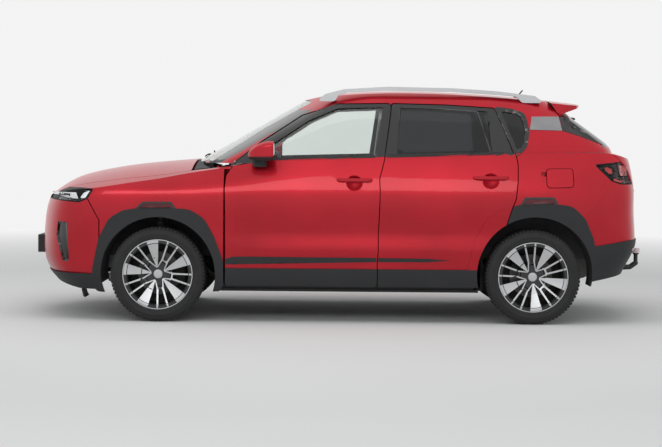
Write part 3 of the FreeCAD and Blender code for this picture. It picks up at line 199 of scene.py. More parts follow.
redPaint = candyPaint()
cladding = surface("grainedCladding", (0.014, 0.015, 0.017), 0.62, 0.12, 900.0, 0.0006, 5.0, 0.08)
glossBlack = surface("glossBlackTrim", (0.008, 0.008, 0.009), 0.14, 0.15, 300.0, 0.0, 7.0, 0.04, coat=0.5)
rubberSeal = surface("rubberSeal", (0.014, 0.014, 0.015), 0.50, 0.15, 700.0, 0.0002, 9.0, 0.08)
clearGlass = glass("clearCarGlass", (0.84, 0.88, 0.86), (0.72, 0.76, 0.74))
tintedGlass = glass("tintedCarGlass", (0.14, 0.15, 0.155), (0.08, 0.085, 0.09))
satinRail = surface("satinSilverRail", (0.50, 0.51, 0.52), 0.42, 0.03, 700.0, 0.0, 4.0, 0.05, metallic=0.75)
brushedSilver = surface("brushedSilverPanel", (0.30, 0.30, 0.31), 0.40, 0.08, 900.0, 0.0, 7.0, 0.08,
                        metallic=0.85)
machined = surface("machinedAlloyFace", (0.58, 0.59, 0.60), 0.32, 0.05, 900.0, 0.0, 9.0, 0.07, metallic=0.85)
alloyBlack = surface("glossBlackAlloy", (0.010, 0.010, 0.011), 0.20, 0.15, 400.0, 0.0, 9.0, 0.05, coat=0.5)
capSilver = surface("hubCapSilver", (0.55, 0.56, 0.57), 0.32, 0.05, 500.0, 0.0, 30.0, 0.05, metallic=0.8)
tyreRubber = surface("tyreRubber", (0.014, 0.014, 0.015), 0.74, 0.2, 500.0, 0.0003, 14.0, 0.08)
castIron = surface("castIronBlack", (0.028, 0.027, 0.026), 0.62, 0.25, 300.0, 0.0008, 20.0, 0.1, metallic=0.4)
discSteel = surface("brakeDiscSteel", (0.11, 0.105, 0.10), 0.42, 0.15, 600.0, 0.0, 30.0, 0.08, metallic=0.7)
softBlack = surface("softDashPlastic", (0.042, 0.042, 0.045), 0.66, 0.1, 700.0, 0.0005, 6.0, 0.06)
seatCloth = wovenCloth("wovenSeatCloth", (0.060, 0.061, 0.066))
seatSide = surface("seatSideVinyl", (0.030, 0.030, 0.032), 0.55, 0.12, 600.0, 0.0005, 12.0, 0.06)
wheelLeather = surface("steeringLeather", (0.022, 0.022, 0.023), 0.48, 0.15, 500.0, 0.0005, 12.0, 0.08)
underSeal = surface("underbodySeal", (0.045, 0.045, 0.047), 0.78, 0.2, 250.0, 0.001, 8.0, 0.08)
blackSteel = surface("powderCoatedSteel", (0.018, 0.018, 0.019), 0.42, 0.15, 600.0, 0.0003, 9.0, 0.07)
stainless = surface("dullStainless", (0.10, 0.096, 0.09), 0.42, 0.15, 200.0, 0.0, 7.0, 0.10, metallic=0.9)
castEngine = surface("castEngineBlock", (0.18, 0.18, 0.19), 0.6, 0.15, 150.0, 0.001, 8.0, 0.08, metallic=0.5)
lampRed = surface("tailLightRed", (0.42, 0.006, 0.010), 0.16, 0.12, 300.0, 0.0, 12.0, 0.04, coat=1.0)
lampCover = glass("clearLampCover", (0.95, 0.96, 0.97), (0.92, 0.93, 0.94), 1.22)
smokedCover = glass("smokedLampCover", (0.72, 0.66, 0.66), (0.64, 0.58, 0.58), 1.22)
lightChrome = surface("lampChrome", (0.84, 0.86, 0.88), 0.16, 0.03, 300.0, 0.0, 8.0, 0.04, metallic=0.8)
lightWhite = surface("lightGuideWhite", (0.78, 0.80, 0.82), 0.25, 0.03, 300.0, 0.0, 12.0, 0.04)
mirrorSilver = surface("mirrorSilver", (0.80, 0.82, 0.83), 0.04, 0.02, 300.0, 0.0, 8.0, 0.01, metallic=1.0)
plateWhite = surface("blankPlateWhite", (0.72, 0.72, 0.70), 0.42, 0.03, 500.0, 0.0, 9.0, 0.05)
ballCapPlastic = surface("ballCapPlastic", (0.80, 0.68, 0.70), 0.45, 0.05, 500.0, 0.0, 40.0, 0.06)
reflectorRed = surface("reflectorRed", (0.36, 0.006, 0.010), 0.24, 0.15, 900.0, 0.0008, 20.0, 0.05, coat=1.0)
lampHousing = surface("lampHousingBlack", (0.004, 0.004, 0.005), 0.45, 0.2, 300.0, 0.0, 8.0, 0.06,
                      specular=0.2)
# painted shade: the body red darkened, laid in the slots inside the eyelid frames
paintedShadeRed = surface("slotPaintedShadeRed", (0.10, 0.004, 0.008), 0.35, 0.12, 600.0, 0.0, 8.0, 0.06)
print("looks are made")

# the look of each CAD node, by the part that it belongs to
looksOfNodes = [
    (redPaint, "side_frames roof_panel front_fenders front_bumper rear_bumper hood tailgate fuel_flap"),
    (redPaint, "front_door_left front_door_right rear_door_left rear_door_right"),
    (redPaint, "door_mirror_left door_mirror_right"),
    (cladding, "lower_cladding cowl_panel"), (glossBlack, "grille"), (lampHousing, "headlamps tail_lamps"),
    (clearGlass, "fixed_glass front_door_glass_left front_door_glass_right"),
    (tintedGlass, "rear_window rear_door_glass_left rear_door_glass_right"),
    (satinRail, "roof_rails"), (blackSteel, "tow_hitch"), (softBlack, "dashboard"), (seatCloth, "seats"),
    (wheelLeather, "steering_wheel"), (underSeal, "floor_pan"), (castEngine, "engine_block"),
    (stainless, "exhaust"), (castIron, "front_suspension rear_axle knuckle_left knuckle_right"),
    (tyreRubber, "front_tyre_left front_tyre_right rear_tyre_left rear_tyre_right"),
    (alloyBlack, "front_rim_left front_rim_right rear_rim_left rear_rim_right")]


# Give a CAD node its looks; the chooser says which one a polygon takes
def dress(name, looks, chooser=None):
    mesh = nodes[name].data
    mesh.materials.clear()
    for look in looks:
        mesh.materials.append(look)
    for polygon in mesh.polygons:
        polygon.material_index = chooser(polygon) if chooser else 0


def rimLook(polygon):
    fromHub = math.hypot(abs(polygon.center.x) - 1.3, polygon.center.z - hubHeight / 1000)
    outward, depth = abs(polygon.normal.y), abs(polygon.center.y)
    if depth < 0.765:
        return 2 if fromHub < 0.152 else 0  # brake disc behind the spokes
    return 1 if outward > 0.9 and depth > 0.82 and fromHub > 0.107 else 0


def doorLook(polygon):
    y, z = polygon.center.y, polygon.center.z
    if z < 0.377:
        return 1
    if z < 1.12 and polygon.normal.y * y < -0.4 * abs(y):
        return 3  # trim face inside the cabin
    return 2 if z > 1.176 or (z > 1.10 and abs(y) < 0.822) else 0


def mirrorLook(polygon):
    return 1 if polygon.center.z < 1.148 or polygon.normal.z < -0.5 or polygon.normal.x < -0.8 else 0


def frameLook(polygon):
    x, y, z = polygon.center
    if z < 0.42 and -0.95 < x < 0.95:
        return 2  # lower edge of the sills
    if 1.13 < z < 1.49 and -0.37 < x < -0.13:
        return 3  # middle pillar behind the glass
    facing = polygon.normal.y * y / max(abs(y), 0.01)
    inner = 0.80 - 0.45 * max(0.0, z - 1.15)
    if abs(y) < inner and facing < 0.35 and z > 1.12 and 0.15 < x < 0.95 and polygon.normal.z > 0.2:
        return 3
    return 1 if facing < -0.05 or (abs(y) < inner and facing < 0.35 and z > 0.5 and x < 0.95) else 0


def bumperLook(polygon):
    # the plate holder stands out at the front
    x, y, z = polygon.center
    return 1 if x > 2.165 and 0.433 < z < 0.5625 and abs(y) < 0.2625 else 0


def gateLook(polygon):
    # the frame round the rear window is black up to the spoiler
    z = polygon.center.z
    station = polygon.center.x * 1000 + originShift
    if polygon.normal.x > 0.3 and z > 0.6:
        return 2
    return 1 if 1.236 < z < 1.448 + max(0.0, -1513 - station) * 0.00038 else 0


def hitchLook(polygon):
    return 1 if polygon.center.x < -2.158 and polygon.center.z > 0.447 else 0


def glassLook(polygon):
    # tinted quarter glass at the rear and a black edge round the windscreen
    if polygon.center.x < 0:
        return 1
    return 2 if abs(0.45 * polygon.normal.x + 0.89 * polygon.normal.z) < 0.35 else 0


for look, names in looksOfNodes:
    for name in names.split():
        dress(name, [look])
for side, _ in sides:
    for end in ("front", "rear"):
        dress(end + "_rim_" + side, [alloyBlack, machined, discSteel], rimLook)
        dress(end + "_door_" + side, [redPaint, cladding, glossBlack, softBlack], doorLook)
    dress("door_mirror_" + side, [redPaint, cladding], mirrorLook)
dress("side_frames", [redPaint, softBlack, cladding, glossBlack], frameLook)
dress("front_bumper", [redPaint, cladding], bumperLook)
dress("tailgate", [redPaint, glossBlack, softBlack], gateLook)
dress("tow_hitch", [blackSteel, ballCapPlastic], hitchLook)
dress("fixed_glass", [clearGlass, tintedGlass, glossBlack], glassLook)
print("CAD pieces have their looks")


# Shared ways of making a piece
def newPiece(name, mesh, look, body, sharp=38.0):
    piece = bpy.data.objects.new(name, mesh)
    bpy.context.collection.objects.link(piece)
    mesh.materials.append(look)
    mesh.polygons.foreach_set("use_smooth", [True] * len(mesh.polygons))
    mesh.set_sharp_from_angle(angle=math.radians(sharp))
    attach(piece, body)
    return piece


def meshFrom(name, vertices, faces):
    mesh = bpy.data.meshes.new(name)
    mesh.from_pydata([tuple(v) for v in vertices], [], faces)
    return facesOut(mesh)


def facesOut(mesh):
    work = bmesh.new()
    work.from_mesh(mesh)
    bmesh.ops.remove_doubles(work, verts=work.verts, dist=1e-6)
    bmesh.ops.recalc_face_normals(work, faces=work.faces)
    work.to_mesh(mesh)
    work.free()
    return mesh


def joined(name, meshes):
    vertices, faces = [], []
    for mesh in meshes:
        start = len(vertices)
        vertices += [v.co.copy() for v in mesh.vertices]
        faces += [[start + i for i in p.vertices] for p in mesh.polygons]
    result = bpy.data.meshes.new(name)
    result.from_pydata([tuple(v) for v in vertices], [], faces)
    return result


# The surface of CAD nodes, to drop points onto
def skinTree(*names):
    vertices, faces = [], []
    for name in names:
        mesh = nodes[name].data
        start = len(vertices)
        vertices += [v.co.copy() for v in mesh.vertices]
        faces += [[start + i for i in p.vertices] for p in mesh.polygons]
    return BVHTree.FromPolygons(vertices, faces)


layWays = {"side": Vector((0, 1, 0)), "front": Vector((1, 0, 0)), "top": Vector((0, 0, 1))}


# A point of an outline, drawn flat across one way
def flatPlace(way, a, b):
    if way == "side":
        return metres(a, 0, b)
    return Vector((0, a / 1000, b / 1000)) if way == "front" else metres(a, b, 0)


# A flat sheet inside one loop or between two, cut into cells so that it can bend
def outlineMesh(loops, cell):
    work = bmesh.new()
    rings = [[work.verts.new((a, b, 0)) for a, b in loop] for loop in loops]
    if len(rings) == 1:
        bmesh.ops.triangulate(work, faces=[work.faces.new(rings[0])], ngon_method="EAR_CLIP")
    else:
        count = len(rings[0])
        for i in range(count):
            j = (i + 1) % count
            work.faces.new((rings[0][i], rings[0][j], rings[1][j], rings[1][i]))
    for axis in (0, 1):
        low = min(v.co[axis] for v in work.verts)
        high = max(v.co[axis] for v in work.verts)
        step = math.floor(low / cell) + 1
        while step * cell < high - 0.01:
            place, normal = Vector((0, 0, 0)), Vector((0, 0, 0))
            place[axis], normal[axis] = step * cell, 1
            bmesh.ops.bisect_plane(work, geom=work.verts[:] + work.edges[:] + work.faces[:], dist=0.01,
                                   plane_co=place, plane_no=normal)
            step += 1
    bmesh.ops.remove_doubles(work, verts=work.verts, dist=0.02)
    return work


# A thin piece that follows the CAD skin inside an outline; the outline is in mm, seen along one way
def laidPatch(name, loops, way, sign, tree, look, body, cell=40.0, proud=0.7, depth=2.0, lifted=False):
    work = outlineMesh(loops if isinstance(loops[0], list) else [loops], cell)
    outward = layWays[way] * sign
    heights = {}
    work.verts.ensure_lookup_table()
    for v in work.verts:
        base = flatPlace(way, v.co.x, v.co.y)
        hit = tree.ray_cast(base + outward * 3.0, -outward)
        heights[v.index] = hit[0].dot(outward) if hit[0] else None
    for _ in range(60):
        missing = [v for v in work.verts if heights[v.index] is None]
        if not missing:
            break
        for v in missing:
            near = [heights[e.other_vert(v).index] for e in v.link_edges]
            near = [h for h in near if h is not None]
            if near:
                heights[v.index] = sum(near) / len(near)
    if lifted:
        # over a step in the skin the piece keeps to the higher side
        around = {v.index: [heights[e.other_vert(v).index] or 0.0 for e in v.link_edges] for v in work.verts}
        heights = {i: max([heights[i] or 0.0] + [h for h in near if h - (heights[i] or 0.0) < 0.03])
                   for i, near in around.items()}
    outer, inner = [], []
    for v in work.verts:
        base = flatPlace(way, v.co.x, v.co.y)
        height = heights[v.index] or 0.0
        outer.append(base + outward * (height + proud / 1000))
        inner.append(base + outward * (height + (proud - depth) / 1000))
    count = len(outer)
    faces = [[v.index for v in f.verts] for f in work.faces]
    faces += [[count + v.index for v in reversed(f.verts)] for f in work.faces]
    for edge in work.edges:
        if edge.is_boundary:
            a, b = edge.verts[0].index, edge.verts[1].index
            faces.append([a, b, count + b, count + a])
    work.free()
    return newPiece(name, meshFrom(name, outer + inner, faces), look, body)


# An outline moved outward by a distance in mm
def grown(outline, distance):
    area = sum(a[0] * b[1] - b[0] * a[1] for a, b in zip(outline, outline[1:] + outline[:1]))
    turn = 1.0 if area > 0 else -1.0
    result = []
    for before, here, after in zip(outline[-1:] + outline[:-1], outline, outline[1:] + outline[:1]):
        d1 = Vector((here[0] - before[0], here[1] - before[1])).normalized()
        d2 = Vector((after[0] - here[0], after[1] - here[1])).normalized()
        n1, n2 = Vector((d1.y, -d1.x)) * turn, Vector((d2.y, -d2.x)) * turn
        middle = (n1 + n2).normalized()
        step = distance / max(0.45, middle.dot(n1))
        result.append((here[0] + middle.x * step, here[1] + middle.y * step))
    return result


# An outline with its corners rounded
def rounded(outline, radius, steps=4):
    result = []
    for before, here, after in zip(outline[-1:] + outline[:-1], outline, outline[1:] + outline[:1]):
        p, a, b = Vector(here), Vector(before), Vector(after)
        cut = min(radius, (a - p).length * 0.45, (b - p).length * 0.45)
        start, end = p + (a - p).normalized() * cut, p + (b - p).normalized() * cut
        for i in range(steps + 1):
            t = i / steps
            q = start * (1 - t) ** 2 + p * 2 * t * (1 - t) + end * t ** 2
            result.append((q.x, q.y))
    return result


# A tube along points, round or with a half width and half height at each point
def sweptTube(points, radius, count=10, widths=None):
    rings, vertices, faces = len(points), [], []
    up = Vector((0, 0, 1))
    for i, point in enumerate(points):
        ahead = points[min(i + 1, rings - 1)] - points[max(i - 1, 0)]
        ahead.normalize()
        side = ahead.cross(up if abs(ahead.z) < 0.95 else Vector((1, 0, 0))).normalized()
        top = side.cross(ahead)
        wide, high = (widths[i] if widths else (radius, radius))
        for k in range(count):
            angle = 2 * math.pi * k / count
            vertices.append(point + side * math.cos(angle) * wide + top * math.sin(angle) * high)
    for i in range(rings - 1):
        for k in range(count):
            j = (k + 1) % count
            faces.append([i * count + k, i * count + j, (i + 1) * count + j, (i + 1) * count + k])
    faces.append(list(range(count)))
    faces.append([(rings - 1) * count + k for k in reversed(range(count))])
    return meshFrom("tube", vertices, faces)


# A smooth curve through points
def smoothPath(points, steps=6):
    result = []
    for i in range(len(points) - 1):
        p0, p1 = points[max(i - 1, 0)], points[i]
        p2, p3 = points[i + 1], points[min(i + 2, len(points) - 1)]
        for k in range(steps):
            t = k / steps
            result.append(0.5 * ((2 * p1) + (p2 - p0) * t + (2 * p0 - 5 * p1 + 4 * p2 - p3) * t * t
                                 + (3 * p1 - p0 - 3 * p2 + p3) * t ** 3))
    return result + [points[-1].copy()]


# A turned shape about a line along Y through a wheel centre; profile is (radius, y) in mm
def turned(profile, station, height, sign=1.0, count=64, start=0.0, sweep=360.0):
    closed = sweep > 359.9
    rows = count if closed else count + 1
    vertices, faces, n = [], [], len(profile)
    for i in range(rows):
        angle = math.radians(start + sweep * i / count)
        for radius, y in profile:
            x, z = station + radius * math.cos(angle), height + radius * math.sin(angle)
            vertices.append(metres(x, sign * y, z))
    for i in range(count):
        a, b = i * n, ((i + 1) % rows) * n
        for k in range(n):
            j = (k + 1) % n
            faces.append([a + k, a + j, b + j, b + k])
    if not closed:
        faces.append(list(range(n)))
        faces.append([(rows - 1) * n + k for k in reversed(range(n))])
    return meshFrom("turned", vertices, faces)


# A block with rounded edges between two corners in mm
def roundedBlock(low, high, radius=4.0, segments=3):
    work = bmesh.new()
    bmesh.ops.create_cube(work, size=1.0)
    lowest, highest = metres(*low), metres(*high)
    for v in work.verts:
        v.co = Vector([lowest[k] + (highest[k] - lowest[k]) * (v.co[k] + 0.5) for k in range(3)])
    bmesh.ops.bevel(work, geom=work.edges[:], offset=radius / 1000, segments=segments, affect="EDGES",
                    profile=0.5)
    mesh = bpy.data.meshes.new("block")
    work.to_mesh(mesh)
    work.free()
    return facesOut(mesh)


# A bar of one side outline (stations and heights, mm) between two widths
def sideBar(outline, yLow, yHigh, bevel=3.0, segments=2):
    work = bmesh.new()
    near = [work.verts.new(metres(x, yLow, z)) for x, z in outline]
    far = [work.verts.new(metres(x, yHigh, z)) for x, z in outline]
    count = len(outline)
    work.faces.new(near)
    work.faces.new(list(reversed(far)))
    for i in range(count):
        j = (i + 1) % count
        work.faces.new((near[j], near[i], far[i], far[j]))
    bmesh.ops.bevel(work, geom=work.edges[:], offset=bevel / 1000, segments=segments, affect="EDGES",
                    profile=0.5, clamp_overlap=True)
    mesh = bpy.data.meshes.new("bar")
    work.to_mesh(mesh)
    work.free()
    return facesOut(mesh)


# Geometry Nodes: one tree maker with named number inputs
def newTree(name, numbers):
    tree = bpy.data.node_groups.new(name, "GeometryNodeTree")
    tree.interface.new_socket("Geometry", in_out="INPUT", socket_type="NodeSocketGeometry")
    identifiers = {}
    for label, value in numbers.items():
        kind = "NodeSocketInt" if isinstance(value, int) else "NodeSocketFloat"
        socket = tree.interface.new_socket(label, in_out="INPUT", socket_type=kind)
        socket.default_value = value
        identifiers[label] = socket.identifier
    tree.interface.new_socket("Geometry", in_out="OUTPUT", socket_type="NodeSocketGeometry")
    start = tree.nodes.new("NodeGroupInput")
    end = tree.nodes.new("NodeGroupOutput")
    return tree, start, end, identifiers


def mathNode(tree, operation, a, b=None):
    node = tree.nodes.new("ShaderNodeMath")
    node.operation = operation
    for socket, value in zip(node.inputs, (a, b)):
        if value is None:
            continue
        if isinstance(value, (int, float)):
            socket.default_value = value
        else:
            tree.links.new(value, socket)
    return node.outputs[0]


# Run a tree with its numbers and keep the mesh
def grownMesh(name, tree, identifiers, numbers):
    holder = bpy.data.objects.new(name + "Maker", bpy.data.meshes.new(name + "Maker"))
    bpy.context.collection.objects.link(holder)
    modifier = holder.modifiers.new("shape", "NODES")
    modifier.node_group = tree
    for label, value in numbers.items():
        modifier[identifiers[label]] = value
    bpy.context.view_layer.update()
    evaluated = holder.evaluated_get(bpy.context.evaluated_depsgraph_get())
    mesh = bpy.data.meshes.new_from_object(evaluated)
    holder.modifiers.remove(modifier)
    bpy.data.objects.remove(holder)
    return mesh


# A ring of blocks about the Z axis through the origin, for the tread
def ringTree(look):
    numbers = {"Count": 60, "Radius": 0.3, "Radial size": 0.008, "Length": 0.03, "Width": 0.04, "Offset": 0.0,
               "Phase": 0.0, "Slant": 0.0}
    tree, start, end, identifiers = newTree("blockRing", numbers)
    circle = tree.nodes.new("GeometryNodeMeshCircle")
    tree.links.new(start.outputs["Count"], circle.inputs["Vertices"])
    tree.links.new(start.outputs["Radius"], circle.inputs["Radius"])
    cube = tree.nodes.new("GeometryNodeMeshCube")
    size = tree.nodes.new("ShaderNodeCombineXYZ")
    for axis, label in zip("XYZ", ("Radial size", "Length", "Width")):
        tree.links.new(start.outputs[label], size.inputs[axis])
    tree.links.new(size.outputs["Vector"], cube.inputs["Size"])
    step = mathNode(tree, "DIVIDE", 2 * math.pi, start.outputs["Count"])
    index = tree.nodes.new("GeometryNodeInputIndex")
    turn = mathNode(tree, "MULTIPLY", index.outputs["Index"], step)
    angles = tree.nodes.new("ShaderNodeCombineXYZ")
    tree.links.new(start.outputs["Slant"], angles.inputs["X"])
    tree.links.new(turn, angles.inputs["Z"])
    place = tree.nodes.new("GeometryNodeInstanceOnPoints")
    tree.links.new(circle.outputs["Mesh"], place.inputs["Points"])
    tree.links.new(cube.outputs["Mesh"], place.inputs["Instance"])
    tree.links.new(angles.outputs["Vector"], place.inputs["Rotation"])
    spin = tree.nodes.new("GeometryNodeTransform")
    spinAngles = tree.nodes.new("ShaderNodeCombineXYZ")
    tree.links.new(start.outputs["Phase"], spinAngles.inputs["Z"])
    spinPlace = tree.nodes.new("ShaderNodeCombineXYZ")
    tree.links.new(start.outputs["Offset"], spinPlace.inputs["Z"])
    tree.links.new(place.outputs["Instances"], spin.inputs["Geometry"])
    tree.links.new(spinAngles.outputs["Vector"], spin.inputs["Rotation"])
    tree.links.new(spinPlace.outputs["Vector"], spin.inputs["Translation"])
    real = tree.nodes.new("GeometryNodeRealizeInstances")
    tree.links.new(spin.outputs["Geometry"], real.inputs["Geometry"])
    painted = tree.nodes.new("GeometryNodeSetMaterial")
    painted.inputs["Material"].default_value = look
    tree.links.new(real.outputs["Geometry"], painted.inputs["Geometry"])
    tree.links.new(painted.outputs["Geometry"], end.inputs["Geometry"])
    return tree, identifiers


# Stand a ring up at a wheel's place
def stood(mesh, station, y, height):
    turn = Matrix.Translation(metres(station, y, height)) @ Matrix.Rotation(math.radians(-90), 4, "X")
    mesh.transform(turn)
    return mesh


print("shared ways are ready")

# Tyres: a carcass with ribs and a tread of blocks, in place of the plain CAD tyres
tyreSizes = {"outer": 327.5, "groove": 320.5, "halfWidth": 112.0, "blocks": 66, "shoulderBlocks": 74,
             "blockLength": 0.0235, "shoulderLength": 0.0195, "blockWidth": 0.027, "shoulderWidth": 0.046}
trackHalf = 782.0


def tyreCarcass(station, sign):
    inner, outer = trackHalf - tyreSizes["halfWidth"], trackHalf + tyreSizes["halfWidth"]
    groove = tyreSizes["groove"]
    # radius, and distance in from the side of the tyre
    wall = [(212.3, 21), (231, 21), (236, 16), (246, 10), (252, 4), (262, 1.5), (276, 0.8), (278, -0.4),
            (282, -0.4), (284, 0.8), (300, 3), (311, 8), (groove - 2, 18), (groove, 30)]
    profile = [(radius, inner + inward) for radius, inward in wall]
    # four long grooves run round the tread
    for middle in (-54.0, -18.0, 18.0, 54.0):
        y = trackHalf + middle
        profile += [(groove, y - 5), (groove - 3.5, y - 3.5), (groove - 3.5, y + 3.5), (groove, y + 5)]
    profile += [(radius, outer - inward) for radius, inward in reversed(wall)]
    return turned(profile, station, hubHeight, sign, count=120)


treadTree, treadInputs = ringTree(tyreRubber)


def treadBlocks(station, sign):
    meshes = []
    rows = [(-74.0, "shoulder", 0.0), (-36.0, "block", 0.30), (0.0, "block", -0.30), (36.0, "block", 0.30),
            (74.0, "shoulder", 0.0)]
    height = (tyreSizes["outer"] - tyreSizes["groove"]) / 1000 + 0.003
    radius = tyreSizes["outer"] / 1000 - height / 2
    for k, (middle, kind, slant) in enumerate(rows):
        number = tyreSizes["shoulderBlocks" if kind == "shoulder" else "blocks"]
        shoulderDrop = 0.0016 if kind == "shoulder" else 0.0
        values = {"Count": number, "Radius": radius - shoulderDrop, "Radial size": height,
                  "Length": tyreSizes[kind + "Length"], "Width": tyreSizes[kind + "Width"],
                  "Offset": middle / 1000, "Phase": k * math.pi / number, "Slant": slant}
        ring = grownMesh("tread", treadTree, treadInputs, values)
        meshes.append(stood(ring, station, sign * trackHalf, hubHeight))
    return joined("treadBlocks", meshes)


def makeTyres():
    for end, station in wheelStations.items():
        for side, sign in sides:
            wheel = end + "_" + side
            body = "wheel_" + wheel
            carcass = newPiece("tyreCarcass_" + wheel, tyreCarcass(station, sign), tyreRubber, body,
                               30)
            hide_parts(end + "_tyre_" + side)
            newPiece("tyreTread_" + wheel, treadBlocks(station, sign), tyreRubber, body, 30)


makeTyres()
print("tyres have their tread")

# Hub caps, spoke roots, bolts, valves, brake calipers and dust shields
hubSizes = {"capRadius": 31.0, "capFace": 836.0, "bolts": 5, "boltCircle": 57.0, "boltFace": 827.0,
            "shieldRadius": 214.0, "inlayInside": 219.0, "inlayOutside": 237.0, "rootBottom": 829.0}
wheelPhase = {"front": -9.0, "rear": 30.0}
caliperStart = {"front": 150, "rear": 20}
broadRoot = [(46, -2.5, 838), (108, -17, 849.5), (111, -17, 850.2), (111, 17, 850.2), (108, 17, 849.5),
             (46, 2.5, 838)]
thinRoot = [(49, 0.5, 838), (100, 42.5, 849), (104, 48, 850), (97, 52.5, 849), (46, 5.5, 838)]


# A tapered bar over the hub, from points given as distance along a spoke, distance across it and height
def spokeRoot(points, station, degrees, sign):
    turn = math.radians(degrees)
    tops, bottoms, count = [], [], len(points)
    for along, across, top in points:
        x = station + along * math.cos(turn) - across * math.sin(turn)
        z = hubHeight + along * math.sin(turn) + across * math.cos(turn)
        tops.append(metres(x, sign * top, z))
        bottoms.append(metres(x, sign * hubSizes["rootBottom"], z))
    faces = [list(range(count)), [2 * count - 1 - k for k in range(count)]]
    faces += [[k, count + k, count + (k + 1) % count, (k + 1) % count] for k in range(count)]
    return meshFrom("spokeRoot", tops + bottoms, faces)


# Bright spoke roots over the hub, and black inlays that leave a thin bright lip
def makeSpokeTrim(end, side, station, sign):
    wheel = end + "_" + side
    roots, inlays = [], []
    low, high = hubSizes["inlayInside"], hubSizes["inlayOutside"]
    inlay = [(low, 873), (high, 877), (high, 879.4), (low, 879.4)]
    otherThin = [(along, -across, top) for along, across, top in reversed(thinRoot)]
    for k in range(hubSizes["bolts"]):
        spoke = 90 + wheelPhase[end] + k * 360 / hubSizes["bolts"]
        roots += [spokeRoot(points, station, spoke, sign) for points in (broadRoot, thinRoot, otherThin)]
        for first in (10.0, 28.3, 46.6):
            inlays.append(turned(inlay, station, hubHeight, sign, 6, spoke + first, 15.4))
    newPiece("spokeRoots_" + wheel, joined("spokeRoots", roots), machined, "wheel_" + wheel, 25)
    newPiece("rimInlays_" + wheel, joined("rimInlays", inlays), alloyBlack, "wheel_" + wheel, 25)


def wheelBolts(end, station, sign):
    bolts, face = [], hubSizes["boltFace"]
    profile = [(0.0, face), (9.6, face), (9.6, face + 6), (7.6, face + 7.5), (5.0, face + 7.5),
               (4.6, face + 4), (0.0, face + 4)]
    for k in range(hubSizes["bolts"]):
        angle = math.radians(90 + wheelPhase[end] + (k + 0.5) * 360 / hubSizes["bolts"])
        x = station + hubSizes["boltCircle"] * math.cos(angle)
        z = hubHeight + hubSizes["boltCircle"] * math.sin(angle)
        bolts.append(turned(profile, x, z, sign, 6))
    return joined("wheelBolts", bolts)


def makeHubs():
    cap, face, edge = hubSizes["capRadius"], hubSizes["capFace"], hubSizes["shieldRadius"]
    capProfile = [(0.0, face), (cap, face), (cap + 1, face + 4), (cap - 2, face + 7.5), (18, face + 8.5),
                  (16, face + 7.2), (0.0, face + 7.8)]
    caliperProfile = [(92, 712), (158, 712), (163, 716), (163, 762), (158, 768), (120, 771), (100, 768),
                      (92, 748), (140, 744), (153.5, 742), (153.5, 720), (92, 719)]
    shieldProfile = [(46, 699), (edge - 2, 699), (edge, 702), (edge, 711), (edge - 3, 711), (edge - 4, 703),
                     (46, 703)]
    for end, station in wheelStations.items():
        for side, sign in sides:
            wheel = end + "_" + side
            body = "wheel_" + wheel
            hubCap = turned(capProfile, station, hubHeight, sign, 40)
            newPiece("hubCap_" + wheel, hubCap, capSilver, body, 30)
            newPiece("wheelBolts_" + wheel, wheelBolts(end, station, sign), blackSteel, body, 25)
            valve = sweptTube([metres(station + 150, sign * 818, hubHeight + 132),
                               metres(station + 144, sign * 838, hubHeight + 127)], 0.004, 12)
            newPiece("tyreValve_" + wheel, valve, rubberSeal, body, 30)
            holder = "knuckle_" + side if end == "front" else "root"
            caliper = turned(caliperProfile, station, hubHeight, sign, 14, caliperStart[end], 52)
            newPiece("brakeCaliper_" + wheel, caliper, castIron, holder, 30)
            shield = turned(shieldProfile, station, hubHeight, sign, 64)
            newPiece("dustShield_" + wheel, shield, castIron, holder, 30)
            makeSpokeTrim(end, side, station, sign)


makeHubs()
print("hubs and brakes are on")

# Doors: lower strips, belt seals and black pillars, each on its own door (stations and heights, mm)
doorStrips = {"front": [(831, 402), (831, 440), (775, 456), (700, 457), (-213, 455), (-213, 426),
                        (722, 426), (790, 402)],
              "rear": [(-226, 455), (-560, 452), (-722, 441), (-560, 428), (-226, 426)]}
beltSeals = {"front": [(632, 1120), (640, 1139), (179, 1152), (-196, 1165), (-196, 1146), (179, 1133)],
             "rear": [(-283, 1168), (-351, 1172), (-1014, 1192), (-1100, 1194), (-1100, 1176),
                      (-1014, 1174), (-351, 1152), (-283, 1148)]}
pillarFillers = {"front": [(-196, 1160), (-258, 1497), (-262, 1521), (-308, 1521), (-270, 1184),
                           (-266, 1160)],
                 "rear": [(-286, 1160), (-326, 1521), (-382, 1520), (-377, 1499), (-354, 1172),
                          (-352, 1160)]}
rearCorner = [(-1014, 1186), (-1022, 1326), (-985, 1476), (-985, 1494), (-1036, 1494), (-1098, 1350),
              (-1156, 1190)]


def makeDoorTrim():
    for side, sign in sides:
        for end in ("front", "rear"):
            door, tail = end + "_door_" + side, "_" + end + "_" + side
            tree = skinTree(door)
            laidPatch("doorStrip" + tail, doorStrips[end], "side", sign, tree, cladding, door,
                      proud=3.0, depth=6.0)
            laidPatch("beltSeal" + tail, beltSeals[end], "side", sign, tree, rubberSeal, door,
                      proud=2.0, depth=9.0, cell=12.0, lifted=True)
            laidPatch("pillarFiller" + tail, pillarFillers[end], "side", sign, tree, glossBlack, door,
                      proud=1.2)
        laidPatch("pillarCorner_rear_" + side, rearCorner, "side", sign, tree, glossBlack, door,
                  proud=1.2)


makeDoorTrim()
print("doors have their trim")

# Quarter glass surround and the silver pillar panel
quarterGlass = [(-1190, 1200), (-1075, 1482), (-1150, 1474), (-1232, 1447), (-1254, 1343), (-1237, 1240)]
silverPanel = [(-1300, 1443), (-1495, 1446), (-1512, 1346), (-1284, 1351)]
pillarStrip = [(-1499, 1446), (-1515, 1346), (-1640, 1308), (-1764, 1262), (-1774, 1264), (-1540, 1442)]


